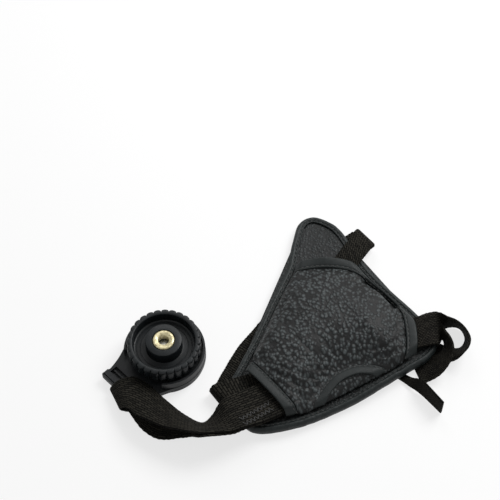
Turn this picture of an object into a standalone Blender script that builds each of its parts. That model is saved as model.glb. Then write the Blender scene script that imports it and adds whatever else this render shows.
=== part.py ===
"""A hand grip strap for a camera: a padded leather palm piece, its webbing straps and a
screw-in base plate with a thumb wheel.

Metres, +Z up. The strap lies on a table with the plate to the left and the palm up.
"""
import math

import bmesh
import bpy
import numpy as np
from mathutils import Vector

# Clearance between pieces that touch on the real strap
GAP = 0.0003

# Base plate: a disc with a strap loop, lying on its rubber pad
PLATE_AXIS = (-0.0618, -0.0131)
LOOP_DIRECTION = math.radians(225.0)
PLATE_RADIUS = 0.0206
PLATE_THICKNESS = 0.0030
RUBBER_THICKNESS = 0.0016
RUBBER_INSET = 0.0004
LOOP_REACH = 0.0306
LOOP_HALF_WIDTH = 0.0138
LOOP_CORNER = 0.0007
BAR_DEPTH = 0.0042
SLOT_DEPTH = 0.0040
SLOT_HALF_WIDTH = 0.0117
# The loop's arms leave the disc at an angle, wide, and narrow to a waist beside the bar
ARM_FLARE = 0.0020
ARM_WAIST = 0.0008
ARM_ANGLE = math.radians(64.0)
WALL_HEIGHT = 0.0037
WALL_THICKNESS = 0.0012
WALL_OPENING = math.radians(86.0)

# Captive screw: the clip on its neck stops under the plate's ledge
THREAD_RADIUS = 0.003175
NECK_RADIUS = 0.0025
SCREW_TRAVEL = 0.0045
SCREW_TIP_HEIGHT = 0.0005
CLIP_RADIUS = 0.0048
CLIP_THICKNESS = 0.0007
CLIP_OPENING = math.radians(60.0)
LEDGE_THICKNESS = 0.0012
HUB_WALL = 0.0014
HEAD_RADIUS = 0.0050
HEAD_THICKNESS = 0.0012

# Thumb wheel
WHEEL_RADIUS = 0.0185
WHEEL_RIM_HEIGHT = 0.0077
WHEEL_LOBES = 28
LOBE_DEPTH = 0.0010
LOBE_STEPS = 4
RIM_WIDTH = 0.0030
RECESS_DEPTH = 0.0060
BOSS_RADIUS = 0.00915
BOSS_RISE = 0.0012
WHEEL_LEDGE = 0.0010
INSERT_RADIUS = 0.0054
INSERT_LENGTH = 0.0044
TIP_CHAMFER = 0.0008
THREAD_LENGTH = 0.0050
WHEEL_BREAK = 0.0005
WHEEL_OVERSHOOT = 0.0002
BOSS_WALL = 0.0018
PANEL_RINGS = 7
INSERT_CHAMFER = 0.0005

# Palm pad: lining, foam and leather face inside a rolled binding
LINING_THICKNESS = 0.0007
FOAM_THICKNESS = 0.0015
FACE_THICKNESS = 0.0008
BINDING_THICKNESS = 0.0007
BINDING_WIDTH = 0.0039
BINDING_ROUND = 0.0017
LAYER_INSET = 0.0022
PANEL_THICKNESS = 0.0012
PANEL_CROWN = 0.0098
PANEL_REACH = 0.0220
MOUTH_REACH = 0.0040
TRIM_WIDTH = 0.0052
TRIM_THICKNESS = 0.0015
TRIM_LEAST = 0.0018
LIP_CLEARANCE = 0.0010
PAD_CENTRE = (0.018, 0.000)

# Webbing
WIDE_WEBBING = 0.0200
NARROW_WEBBING = 0.0127
WEBBING_THICKNESS = 0.0012
# Share of its width that the webbing keeps where it is bunched on the bar
BUNCHED = 0.72
# A slanting cross line is longer than the webbing is wide, unless the webbing is gathered
LEAST_SLANT = 0.85
GATHERED = 0.9

MM = 0.001

# Pad outline, seen from above, counter-clockwise from the lower left corner (millimetres)
PAD_OUTLINE = [
    (-25.2, -48.0), (-20.8, -54.6), (-12.7, -57.0), (2.3, -54.4), (17.3, -48.6), (36.8, -38.8),
    (58.0, -25.6), (70.0, -18.0), (75.2, -11.0), (74.6, -4.6), (66.8, 8.0), (53.4, 23.2),
    (44.8, 33.8), (38.0, 44.8), (30.8, 58.6), (24.2, 66.1), (15.0, 70.0), (7.3, 65.6),
    (3.4, 52.7), (0.3, 36.7), (-9.2, 14.6), (-16.4, -3.4), (-24.0, -19.5), (-31.0, -36.0),
]
# Height of the pad's underside over the table where something or nothing lies under it
PAD_SUPPORTS = [
    (15.0, 66.0, 0.3), (0.0, 40.0, 1.0), (40.0, 46.0, 1.9), (31.0, 54.0, 2.0), (74.0, -8.0, 3.0),
    (60.0, 12.0, 2.4),
    (56.0, -26.0, 2.6), (20.0, -47.0, 0.5), (-10.0, -55.0, 1.4), (-28.0, -36.0, 1.9),
    (-14.0, 0.0, 1.8), (25.0, 5.0, 1.8), (-5.0, 20.0, 1.7), (-4.0, -20.0, 1.9),
]
# Seams of the palm panel where a strap leaves it, and their height over the pad
TOP_SEAM = [(3.4, 31.4), (12.3, 33.1), (20.6, 33.5), (29.0, 32.7), (35.8, 30.2), (41.2, 26.2)]
SIDE_SEAM = [(47.6, 20.0), (51.8, 14.9)]
RIGHT_SEAM = [(54.9, 10.6), (57.6, 5.2), (58.5, 0.2), (58.9, -8.6), (58.4, -16.0), (57.4, -22.0)]
ARCH_SEAM = [(50.6, -26.4), (44.4, -23.2), (36.9, -22.3), (30.7, -23.2), (23.0, -27.0),
             (16.8, -33.4), (12.0, -41.3), (9.6, -47.2)]
LOW_SEAM = [(4.9, -49.6), (2.6, -45.6), (-1.8, -39.8), (-7.3, -33.5), (-12.9, -27.2), (-17.6, -22.6)]
LEFT_EDGE = [(-16.4, -14.6), (-12.0, -3.0), (-5.6, 13.6), (0.4, 24.0)]
MOUTH_RISES = {"top": 3.6, "right": 5.2, "arch": 3.0, "low": 6.7}


def clear_scene():
    for item in list(bpy.data.objects):
        bpy.data.objects.remove(item, do_unlink=True)


def new_collection(name):
    collection = bpy.data.collections.new(name)
    bpy.context.scene.collection.children.link(collection)
    return collection


def material(name, colour, roughness, metallic=0.0):
    made = bpy.data.materials.new(name)
    made.use_nodes = True
    surface = made.node_tree.nodes["Principled BSDF"]
    surface.inputs["Base Color"].default_value = (*colour, 1.0)
    surface.inputs["Roughness"].default_value = roughness
    surface.inputs["Metallic"].default_value = metallic
    made.diffuse_color = (*colour, 1.0)
    return made


def mesh_object(name, bm, collection, surface=None):
    bmesh.ops.recalc_face_normals(bm, faces=bm.faces)
    mesh = bpy.data.meshes.new(name)
    bm.to_mesh(mesh)
    bm.free()
    made = bpy.data.objects.new(name, mesh)
    collection.objects.link(made)
    if surface:
        mesh.materials.append(surface)
    return made


def prism(name, outline, bottom, top, collection, surface=None):
    """A flat outline, raised from one height to another."""
    bm = bmesh.new()
    corners = [bm.verts.new((x, y, bottom)) for x, y in outline]
    face = bm.faces.new(corners)
    raised = bmesh.ops.extrude_face_region(bm, geom=[face])
    moved = [item for item in raised["geom"] if isinstance(item, bmesh.types.BMVert)]
    bmesh.ops.translate(bm, verts=moved, vec=(0.0, 0.0, top - bottom))
    return mesh_object(name, bm, collection, surface)


def cylinder(name, radius, bottom, top, collection, surface=None, sides=48):
    bm = bmesh.new()
    bmesh.ops.create_cone(bm, cap_ends=True, segments=sides, radius1=radius, radius2=radius,
                          depth=top - bottom)
    bmesh.ops.translate(bm, verts=bm.verts, vec=(0.0, 0.0, (bottom + top) / 2))
    return mesh_object(name, bm, collection, surface)


def turned(name, profile, collection, surface=None, sides=40):
    """A profile of (radius, height) points, turned about Z by a Screw modifier."""
    bm = bmesh.new()
    points = [bm.verts.new((radius, 0.0, height)) for radius, height in profile]
    for first, second in zip(points, points[1:]):
        bm.edges.new((first, second))
    if profile[0][0] > 0.0:
        bm.edges.new((points[-1], points[0]))
    made = mesh_object(name, bm, collection, surface)
    screw = made.modifiers.new("turn", "SCREW")
    screw.steps = sides
    screw.render_steps = sides
    screw.use_merge_vertices = True
    screw.merge_threshold = 1e-6
    screw.use_normal_flip = True
    return made


def combine(target, tool, operation):
    tool.hide_render = True
    tool.display_type = "WIRE"
    step = target.modifiers.new(operation.lower(), "BOOLEAN")
    step.operation = operation
    step.solver = "EXACT"
    step.object = tool


def place(made, parent):
    made.parent = parent
    return made


def smooth_path(points, steps, closed=False):
    """A Catmull-Rom curve through the points, as an array."""
    points = np.array(points, float)
    count = len(points)
    found = []
    spans = count if closed else count - 1
    for i in range(spans):
        if closed:
            a, b, c, d = (points[(i + k) % count] for k in (-1, 0, 1, 2))
        else:
            a, b, c, d = (points[min(max(i + k, 0), count - 1)] for k in (-1, 0, 1, 2))
        for j in range(steps):
            t = j / steps
            found.append(0.5 * (2 * b + (c - a) * t + (2 * a - 5 * b + 4 * c - d) * t * t
                                + (3 * b - a - 3 * c + d) * t ** 3))
    if not closed:
        found.append(points[-1])
    return np.array(found)


def outward(path, closed=True):
    """Unit normals to the right of a flat path."""
    if closed:
        ahead = np.roll(path, -1, axis=0) - np.roll(path, 1, axis=0)
    else:
        ahead = np.gradient(path, axis=0)
    ahead /= np.linalg.norm(ahead, axis=1)[:, None]
    return np.stack([ahead[:, 1], -ahead[:, 0]], axis=1)


def distance_to(path, x, y):
    """Distance from a point to an open flat path."""
    start = path[:-1]
    run = path[1:] - start
    offset = np.array([x, y]) - start
    share = np.clip((offset * run).sum(axis=1) / (run ** 2).sum(axis=1), 0.0, 1.0)
    return float(np.linalg.norm(offset - run * share[:, None], axis=1).min())


def within_loop(path, x, y):
    """True where a closed flat path goes round the point."""
    start, end = path[:-1], path[1:]
    spans = (start[:, 1] > y) != (end[:, 1] > y)
    rise = np.where(spans, end[:, 1] - start[:, 1], 1.0)
    crossing = start[:, 0] + (y - start[:, 1]) * (end[:, 0] - start[:, 0]) / rise
    return int((spans & (x < crossing)).sum()) % 2 == 1


def eased(share):
    return math.sin(min(max(share, 0.0), 1.0) * math.pi / 2)


class Pad:
    """The plan and the heights of the palm pad and of the panel on it."""

    def __init__(self):
        self.outline = smooth_path(np.array(PAD_OUTLINE) * MM, 3, closed=True)
        self.normals = outward(self.outline)
        self.supports = np.array(PAD_SUPPORTS) * MM
        self.upper_seam = smooth_path(np.array(TOP_SEAM + SIDE_SEAM + RIGHT_SEAM) * MM, 4)
        self.arch_seam = smooth_path(np.array(ARCH_SEAM) * MM, 3)
        self.low_seam = smooth_path(np.array(LOW_SEAM) * MM, 3)
        self.left_edge = smooth_path(np.array(LOW_SEAM[-1:] + LEFT_EDGE + TOP_SEAM[:1]) * MM, 3)
        lip = self.inset(BINDING_WIDTH)
        self.lip = np.concatenate([lip, lip[:1]])
        self.side_seam = smooth_path(np.array(TOP_SEAM[-1:] + SIDE_SEAM + RIGHT_SEAM[:1]) * MM, 4)
        self.mouths = {"top": smooth_path(np.array(TOP_SEAM) * MM, 4),
                       "right": smooth_path(np.array(RIGHT_SEAM) * MM, 4),
                       "arch": self.arch_seam, "low": self.low_seam}
        self.stack = LINING_THICKNESS + FOAM_THICKNESS + FACE_THICKNESS + 4 * GAP

    def lift(self, x, y):
        """Height of the binding's underside."""
        reach = (self.supports[:, 0] - x) ** 2 + (self.supports[:, 1] - y) ** 2 + (8 * MM) ** 2
        weight = reach ** -1.5
        return float((weight * self.supports[:, 2]).sum() / weight.sum())

    def lining_bottom(self, x, y):
        return self.lift(x, y) + BINDING_THICKNESS + GAP

    def foam_bottom(self, x, y):
        return self.lining_bottom(x, y) + LINING_THICKNESS + GAP

    def face_bottom(self, x, y):
        return self.foam_bottom(x, y) + FOAM_THICKNESS + GAP

    def face_top(self, x, y):
        return self.face_bottom(x, y) + FACE_THICKNESS

    def binding_top(self, x, y):
        return self.lift(x, y) + 2 * BINDING_THICKNESS + self.stack

    def panel_bottom(self, x, y):
        """The face, plus a crown that falls to the sewn edges and the mouths."""
        sewn = min(distance_to(path, x, y) for path in (self.lip, self.side_seam))
        near = {name: distance_to(path, x, y) for name, path in self.mouths.items()}
        weights = {name: 1.0 / (value + 2 * MM) ** 3 for name, value in near.items()}
        total = sum(weights.values())
        mouth = sum(weights[name] * MOUTH_RISES[name] * MM for name in weights) / total
        crown = (PANEL_CROWN - mouth) * eased(sewn / PANEL_REACH) * eased(min(near.values()) / PANEL_REACH)
        return self.face_top(x, y) + GAP + mouth * eased(sewn / MOUTH_REACH) + crown

    def inset(self, distance):
        return self.outline - self.normals * distance

    def room_beside(self, x, y, nx, ny):
        """How wide a trim can be at a point of its seam before it meets the binding's lip."""
        for share in np.linspace(1.0, 0.0, 27):
            wide = TRIM_WIDTH * share
            spots = [(x + nx * run, y + ny * run) for run in (GAP, wide / 2, wide)]
            inside = all(within_loop(self.lip, *spot) for spot in spots)
            if inside and all(distance_to(self.lip, *spot) > LIP_CLEARANCE for spot in spots):
                return wide
        return 0.0

    def panel_outline(self):
        """The seams joined by the sewn edges, counter-clockwise."""
        upper = self.upper_seam[::-1][:-1]
        left = self.left_edge[::-1][:-1]
        low = self.low_seam[::-1]
        arch = self.arch_seam[::-1]
        return self.kept_inside(np.concatenate([low, arch, upper, left]), BINDING_WIDTH + 2 * GAP)

    def kept_inside(self, path, least):
        """Moves the points that lie closer than the least distance to the pad's edge inward."""
        edge = np.concatenate([self.outline, self.outline[:1]])
        moved = []
        for point in path:
            run = edge[1:] - edge[:-1]
            share = np.clip(((point - edge[:-1]) * run).sum(axis=1) / (run ** 2).sum(axis=1), 0.0, 1.0)
            nearest = edge[:-1] + run * share[:, None]
            distance = np.linalg.norm(point - nearest, axis=1)
            k = int(distance.argmin())
            if distance[k] < least:
                point = nearest[k] + (point - nearest[k]) / distance[k] * least
            moved.append(point)
        return np.array(moved)


def polar_surface(name, outline, centre, rings, height, collection, surface):
    """A surface of rings between an outline and its centre, at the height that a function gives."""
    bm = bmesh.new()
    centre = np.array(centre)
    loops = []
    for k in range(rings):
        share = 1.0 - k / rings
        flat = centre + (outline - centre) * share
        loops.append([bm.verts.new((x, y, height(x, y))) for x, y in flat])
    tip = bm.verts.new((*centre, height(*centre)))
    count = len(outline)
    for outer, inner in zip(loops, loops[1:]):
        for i in range(count):
            j = (i + 1) % count
            bm.faces.new((outer[i], outer[j], inner[j], inner[i]))
    for i in range(count):
        bm.faces.new((loops[-1][i], loops[-1][(i + 1) % count], tip))
    return mesh_object(name, bm, collection, surface)


def thicken(made, thickness):
    """Gives a surface its thickness, half to each side."""
    step = made.modifiers.new("thickness", "SOLIDIFY")
    step.thickness = thickness
    step.offset = 0.0
    return made


def raise_sheet(made, thickness):
    """Extrudes a sheet straight up, so its edges keep their place in plan."""
    bm = bmesh.new()
    bm.from_mesh(made.data)
    raised = bmesh.ops.extrude_face_region(bm, geom=bm.faces[:], use_keep_orig=True)
    moved = [item for item in raised["geom"] if isinstance(item, bmesh.types.BMVert)]
    bmesh.ops.translate(bm, verts=moved, vec=(0.0, 0.0, thickness))
    bmesh.ops.recalc_face_normals(bm, faces=bm.faces)
    bm.to_mesh(made.data)
    bm.free()
    return made


def strip_surface(name, rows, collection, surface, closed=False):
    """A surface from rows of points, each row running across the strip."""
    bm = bmesh.new()
    made_rows = [[bm.verts.new(tuple(point)) for point in row] for row in rows]
    pairs = list(zip(made_rows, made_rows[1:]))
    if closed:
        pairs.append((made_rows[-1], made_rows[0]))
    for first, second in pairs:
        for i in range(len(first) - 1):
            bm.faces.new((first[i], first[i + 1], second[i + 1], second[i]))
    return mesh_object(name, bm, collection, surface)


def ribbon(name, stations, width, collection, surface, steps=4):
    """Webbing along stations of (centre, direction across, share of its width that lies open)."""
    centres = smooth_path([station[0] for station in stations], steps)
    across = smooth_path([Vector(station[1]).normalized() for station in stations], steps)
    shares = smooth_path([[station[2] if len(station) > 2 else 1.0] for station in stations], steps)
    along = np.gradient(centres, axis=0)
    along /= np.linalg.norm(along, axis=1)[:, None]
    across /= np.linalg.norm(across, axis=1)[:, None]
    slant = np.linalg.norm(np.cross(along, across), axis=1).clip(LEAST_SLANT, 1.0)[:, None]
    open_flat = ((shares - GATHERED) / (1.0 - GATHERED)).clip(0.0, 1.0)
    half = width / 2 * across * shares / slant ** open_flat
    rows = [(centre - side, centre, centre + side) for centre, side in zip(centres, half)]
    return thicken(strip_surface(name, rows, collection, surface), WEBBING_THICKNESS)


def beneath(stations, distance):
    """The same run of webbing, laid under the first at a distance."""
    centres = np.array([station[0] for station in stations])
    along = np.gradient(centres, axis=0)
    shifted = []
    for station, ahead in zip(stations, along):
        down = np.cross(station[1], ahead)
        down *= -np.sign(down[2]) * distance / np.linalg.norm(down)
        shifted.append((tuple(station[0] + down), *station[1:]))
    return shifted


def plate_outline(sides, steps):
    """The disc and the two arms that carry the strap bar along +X."""
    arm = [(0.49 * LOOP_REACH, LOOP_HALF_WIDTH + ARM_FLARE),
           (0.65 * LOOP_REACH, LOOP_HALF_WIDTH + 0.15 * ARM_FLARE),
           (LOOP_REACH - 1.3 * BAR_DEPTH, LOOP_HALF_WIDTH - ARM_WAIST),
           (LOOP_REACH - BAR_DEPTH, LOOP_HALF_WIDTH - ARM_WAIST / 2)]
    corner = [(LOOP_REACH - LOOP_CORNER, LOOP_HALF_WIDTH), (LOOP_REACH, LOOP_HALF_WIDTH - LOOP_CORNER)]
    arc = np.linspace(ARM_ANGLE, 2 * math.pi - ARM_ANGLE, sides)
    disc = [(PLATE_RADIUS * math.cos(a), PLATE_RADIUS * math.sin(a)) for a in arc]
    upper = [tuple(point) for point in smooth_path([disc[0]] + arm, steps)[1:]] + corner
    return disc + [(x, -y) for x, y in upper] + upper[::-1]


def build_plate(parts, cutters, frame):
    abs_black = material("abs_black", (0.020, 0.021, 0.023), 0.42)
    rubber = material("rubber_black", (0.012, 0.012, 0.013), 0.8)
    steel = material("screw_steel", (0.55, 0.55, 0.53), 0.3, 1.0)
    bottom = RUBBER_THICKNESS + GAP
    top = bottom + PLATE_THICKNESS
    clip_top = SCREW_TIP_HEIGHT + THREAD_LENGTH
    ledge_bottom = clip_top + GAP
    ledge_top = ledge_bottom + LEDGE_THICKNESS
    well = CLIP_RADIUS + GAP

    plate = place(prism("base_plate", plate_outline(33, 2), bottom, top, parts, abs_black), frame)
    inside, outside = PLATE_RADIUS - WALL_THICKNESS, PLATE_RADIUS - GAP / 2
    wall = turned("wall_ring", [(inside, bottom + GAP), (outside, bottom + GAP),
                                (outside, top + WALL_HEIGHT), (inside, top + WALL_HEIGHT)], cutters, sides=64)
    place(wall, frame)
    half = WALL_OPENING / 2
    reach = 2 * PLATE_RADIUS
    wedge = place(prism("wall_opening", [(0.0, 0.0), (reach * math.cos(half), -reach * math.sin(half)),
                                         (reach * math.cos(half), reach * math.sin(half))],
                        0.0, top + 2 * WALL_HEIGHT, cutters), frame)
    combine(wall, wedge, "DIFFERENCE")
    hub = place(cylinder("hub", well + HUB_WALL, bottom + GAP, ledge_top, cutters), frame)
    slot = place(prism("slot", [(LOOP_REACH - BAR_DEPTH - SLOT_DEPTH, -SLOT_HALF_WIDTH),
                                (LOOP_REACH - BAR_DEPTH, -SLOT_HALF_WIDTH),
                                (LOOP_REACH - BAR_DEPTH, SLOT_HALF_WIDTH),
                                (LOOP_REACH - BAR_DEPTH - SLOT_DEPTH, SLOT_HALF_WIDTH)],
                       0.0, top + WALL_HEIGHT, cutters), frame)
    bore = place(cylinder("clip_well", well, 0.0, ledge_bottom, cutters), frame)
    hole = cylinder("screw_hole", THREAD_RADIUS + GAP, 0.0, ledge_top + PLATE_THICKNESS, cutters)
    place(hole, frame)
    combine(plate, wall, "UNION")
    combine(plate, hub, "UNION")
    combine(plate, slot, "DIFFERENCE")
    combine(plate, bore, "DIFFERENCE")
    combine(plate, hole, "DIFFERENCE")

    pad_edge = PLATE_RADIUS - RUBBER_INSET
    place(turned("rubber_pad", [(well + HUB_WALL, 0.0), (pad_edge, 0.0), (pad_edge, RUBBER_THICKNESS),
                                (well + HUB_WALL, RUBBER_THICKNESS)], parts, rubber, 56), frame)

    clip_inner = NECK_RADIUS + GAP
    clip_bottom = clip_top - CLIP_THICKNESS
    clip = turned("retaining_clip", [(clip_inner, clip_bottom), (CLIP_RADIUS, clip_bottom),
                                     (CLIP_RADIUS, clip_top), (clip_inner, clip_top)], parts, steel, 32)
    place(clip, frame)
    mouth = CLIP_OPENING / 2
    gate = place(prism("clip_mouth", [(0.0, 0.0), (2 * CLIP_RADIUS, -2 * CLIP_RADIUS * math.tan(mouth)),
                                      (2 * CLIP_RADIUS, 2 * CLIP_RADIUS * math.tan(mouth))],
                       clip_top - 2 * CLIP_THICKNESS, clip_top + CLIP_THICKNESS, cutters), frame)
    combine(clip, gate, "DIFFERENCE")
    return clip_top, ledge_top, top


def lobe_radius(angle):
    """Radius of the scalloped rim: round lobes with sharp notches between them."""
    across = 2.0 * ((angle * WHEEL_LOBES / (2 * math.pi)) % 1.0) - 1.0
    return WHEEL_RADIUS - LOBE_DEPTH * (1.0 - math.sqrt(max(0.0, 1.0 - across * across)))


def build_wheel(parts, cutters, frame, clip_top, ledge_top, plate_top):
    abs_wheel = material("wheel_black", (0.024, 0.026, 0.029), 0.38)
    brass = material("insert_brass", (0.50, 0.43, 0.28), 0.35, 1.0)
    steel = material("stud_steel", (0.52, 0.50, 0.44), 0.35, 1.0)
    bottom = plate_top + SCREW_TRAVEL + GAP
    top = bottom + WHEEL_RIM_HEIGHT
    floor = top - RECESS_DEPTH
    ceiling = ledge_top + SCREW_TRAVEL + GAP
    boss_top = top + BOSS_RISE
    bore_radius = INSERT_RADIUS + GAP

    count = WHEEL_LOBES * LOBE_STEPS
    levels = [(bottom, 0.0008), (bottom + 0.0007, 0.0), (top - 0.0009, 0.0), (top - 0.0003, 0.0003),
              (top, 0.0010)]
    rows = []
    for i in range(count):
        angle = 2 * math.pi * i / count
        rim = lobe_radius(angle)
        rows.append([((rim - inset) * math.cos(angle), (rim - inset) * math.sin(angle), z)
                     for z, inset in levels])
    wheel = strip_surface("thumb_wheel", rows, parts, abs_wheel, closed=True)
    bm = bmesh.new()
    bm.from_mesh(wheel.data)
    bmesh.ops.holes_fill(bm, edges=[edge for edge in bm.edges if edge.is_boundary])
    bmesh.ops.recalc_face_normals(bm, faces=bm.faces)
    bm.to_mesh(wheel.data)
    bm.free()
    place(wheel, frame)
    recess_radius = WHEEL_RADIUS - RIM_WIDTH
    recess = place(turned("recess", [(0.0, floor), (recess_radius - WHEEL_BREAK, floor),
                                     (recess_radius, floor + WHEEL_BREAK), (recess_radius, top - WHEEL_BREAK),
                                     (recess_radius + WHEEL_BREAK, top + WHEEL_OVERSHOOT),
                                     (0.0, top + WHEEL_OVERSHOOT)], cutters, sides=64), frame)
    boss = place(turned("boss", [(0.0, floor - WHEEL_BREAK), (BOSS_RADIUS, floor - WHEEL_BREAK),
                                 (BOSS_RADIUS, boss_top - WHEEL_BREAK), (BOSS_RADIUS - WHEEL_BREAK, boss_top),
                                 (0.0, boss_top)], cutters, sides=48), frame)
    under = place(cylinder("under_recess", BOSS_RADIUS - BOSS_WALL, 0.0, ceiling, cutters), frame)
    bore = cylinder("insert_bore", bore_radius, ceiling + WHEEL_LEDGE, boss_top + RECESS_DEPTH, cutters)
    place(bore, frame)
    hole = place(cylinder("stud_hole", THREAD_RADIUS + GAP, 0.0, boss_top, cutters), frame)
    combine(wheel, recess, "DIFFERENCE")
    combine(wheel, boss, "UNION")
    combine(wheel, under, "DIFFERENCE")
    combine(wheel, bore, "DIFFERENCE")
    combine(wheel, hole, "DIFFERENCE")

    insert_top = boss_top + WHEEL_OVERSHOOT
    insert_bottom = insert_top - INSERT_LENGTH
    place(turned("threaded_insert", [(THREAD_RADIUS, insert_bottom), (INSERT_RADIUS, insert_bottom),
                                     (INSERT_RADIUS, insert_top - INSERT_CHAMFER),
                                     (INSERT_RADIUS - INSERT_CHAMFER, insert_top),
                                     (THREAD_RADIUS + INSERT_CHAMFER, insert_top),
                                     (THREAD_RADIUS, insert_top - INSERT_CHAMFER)],
                 parts, brass, 40), frame)
    head_bottom = ceiling + WHEEL_LEDGE + GAP
    neck_bottom = clip_top - CLIP_THICKNESS - GAP
    place(turned("tripod_stud", [(0.0, SCREW_TIP_HEIGHT), (THREAD_RADIUS - TIP_CHAMFER, SCREW_TIP_HEIGHT),
                                 (THREAD_RADIUS, SCREW_TIP_HEIGHT + TIP_CHAMFER), (THREAD_RADIUS, neck_bottom),
                                 (NECK_RADIUS, neck_bottom), (NECK_RADIUS, clip_top + GAP),
                                 (THREAD_RADIUS, clip_top + GAP), (THREAD_RADIUS, head_bottom),
                                 (HEAD_RADIUS, head_bottom), (HEAD_RADIUS, head_bottom + HEAD_THICKNESS),
                                 (0.0, head_bottom + HEAD_THICKNESS)], parts, steel, 40), frame)


def build_pad(parts, frame, pad):
    leather = material("face_leather", (0.022, 0.024, 0.024), 0.45)
    smooth = material("binding_leather", (0.028, 0.030, 0.030), 0.38)
    foam = material("foam_grey", (0.10, 0.10, 0.10), 0.9)
    cloth = material("lining_cloth", (0.016, 0.016, 0.017), 0.85)
    flat = pad.inset(LAYER_INSET)

    def layer(name, height, thickness, surface):
        made = polar_surface(name, flat, PAD_CENTRE, 4, height, parts, surface)
        place(raise_sheet(made, thickness), frame)

    layer("back_lining", pad.lining_bottom, LINING_THICKNESS, cloth)
    layer("foam_core", pad.foam_bottom, FOAM_THICKNESS, foam)
    layer("pad_face", pad.face_bottom, FACE_THICKNESS, leather)

    middle = BINDING_THICKNESS / 2
    height = pad.stack + 2 * BINDING_THICKNESS
    section = [(BINDING_WIDTH, middle)]
    for i in range(6):
        turn = math.pi * i / 5
        section.append((BINDING_ROUND - (BINDING_ROUND - middle) * math.sin(turn),
                        height / 2 - (height / 2 - middle) * math.cos(turn)))
    section.append((BINDING_WIDTH, height - middle))
    rows = []
    for (x, y), (nx, ny) in zip(pad.outline, pad.normals):
        rows.append([(x - nx * s, y - ny * s, pad.lift(x, y) + z) for s, z in section])
    binding = strip_surface("edge_binding", rows, parts, smooth, closed=True)
    place(thicken(binding, BINDING_THICKNESS), frame)

    panel = polar_surface("palm_panel", pad.panel_outline(), PAD_CENTRE, PANEL_RINGS, pad.panel_bottom,
                          parts, leather)
    place(raise_sheet(panel, PANEL_THICKNESS), frame)


def build_trim(name, seam, side, pad, parts, frame, surface):
    """A leather strip beside a seam, narrowed where the binding leaves it less room."""
    normals = outward(seam, closed=False) * side
    rows = []
    for (x, y), (nx, ny) in zip(seam, normals):
        wide = pad.room_beside(x, y, nx, ny)
        if wide < TRIM_LEAST:
            continue
        row = []
        for share in (0.0, 0.5, 1.0):
            run = GAP + (wide - GAP) * share
            px, py = x + nx * run, y + ny * run
            row.append((px, py, pad.panel_bottom(px, py)))
        rows.append(row)
    trim = strip_surface(name, rows, parts, surface)
    place(raise_sheet(trim, TRIM_THICKNESS), frame)


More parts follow.
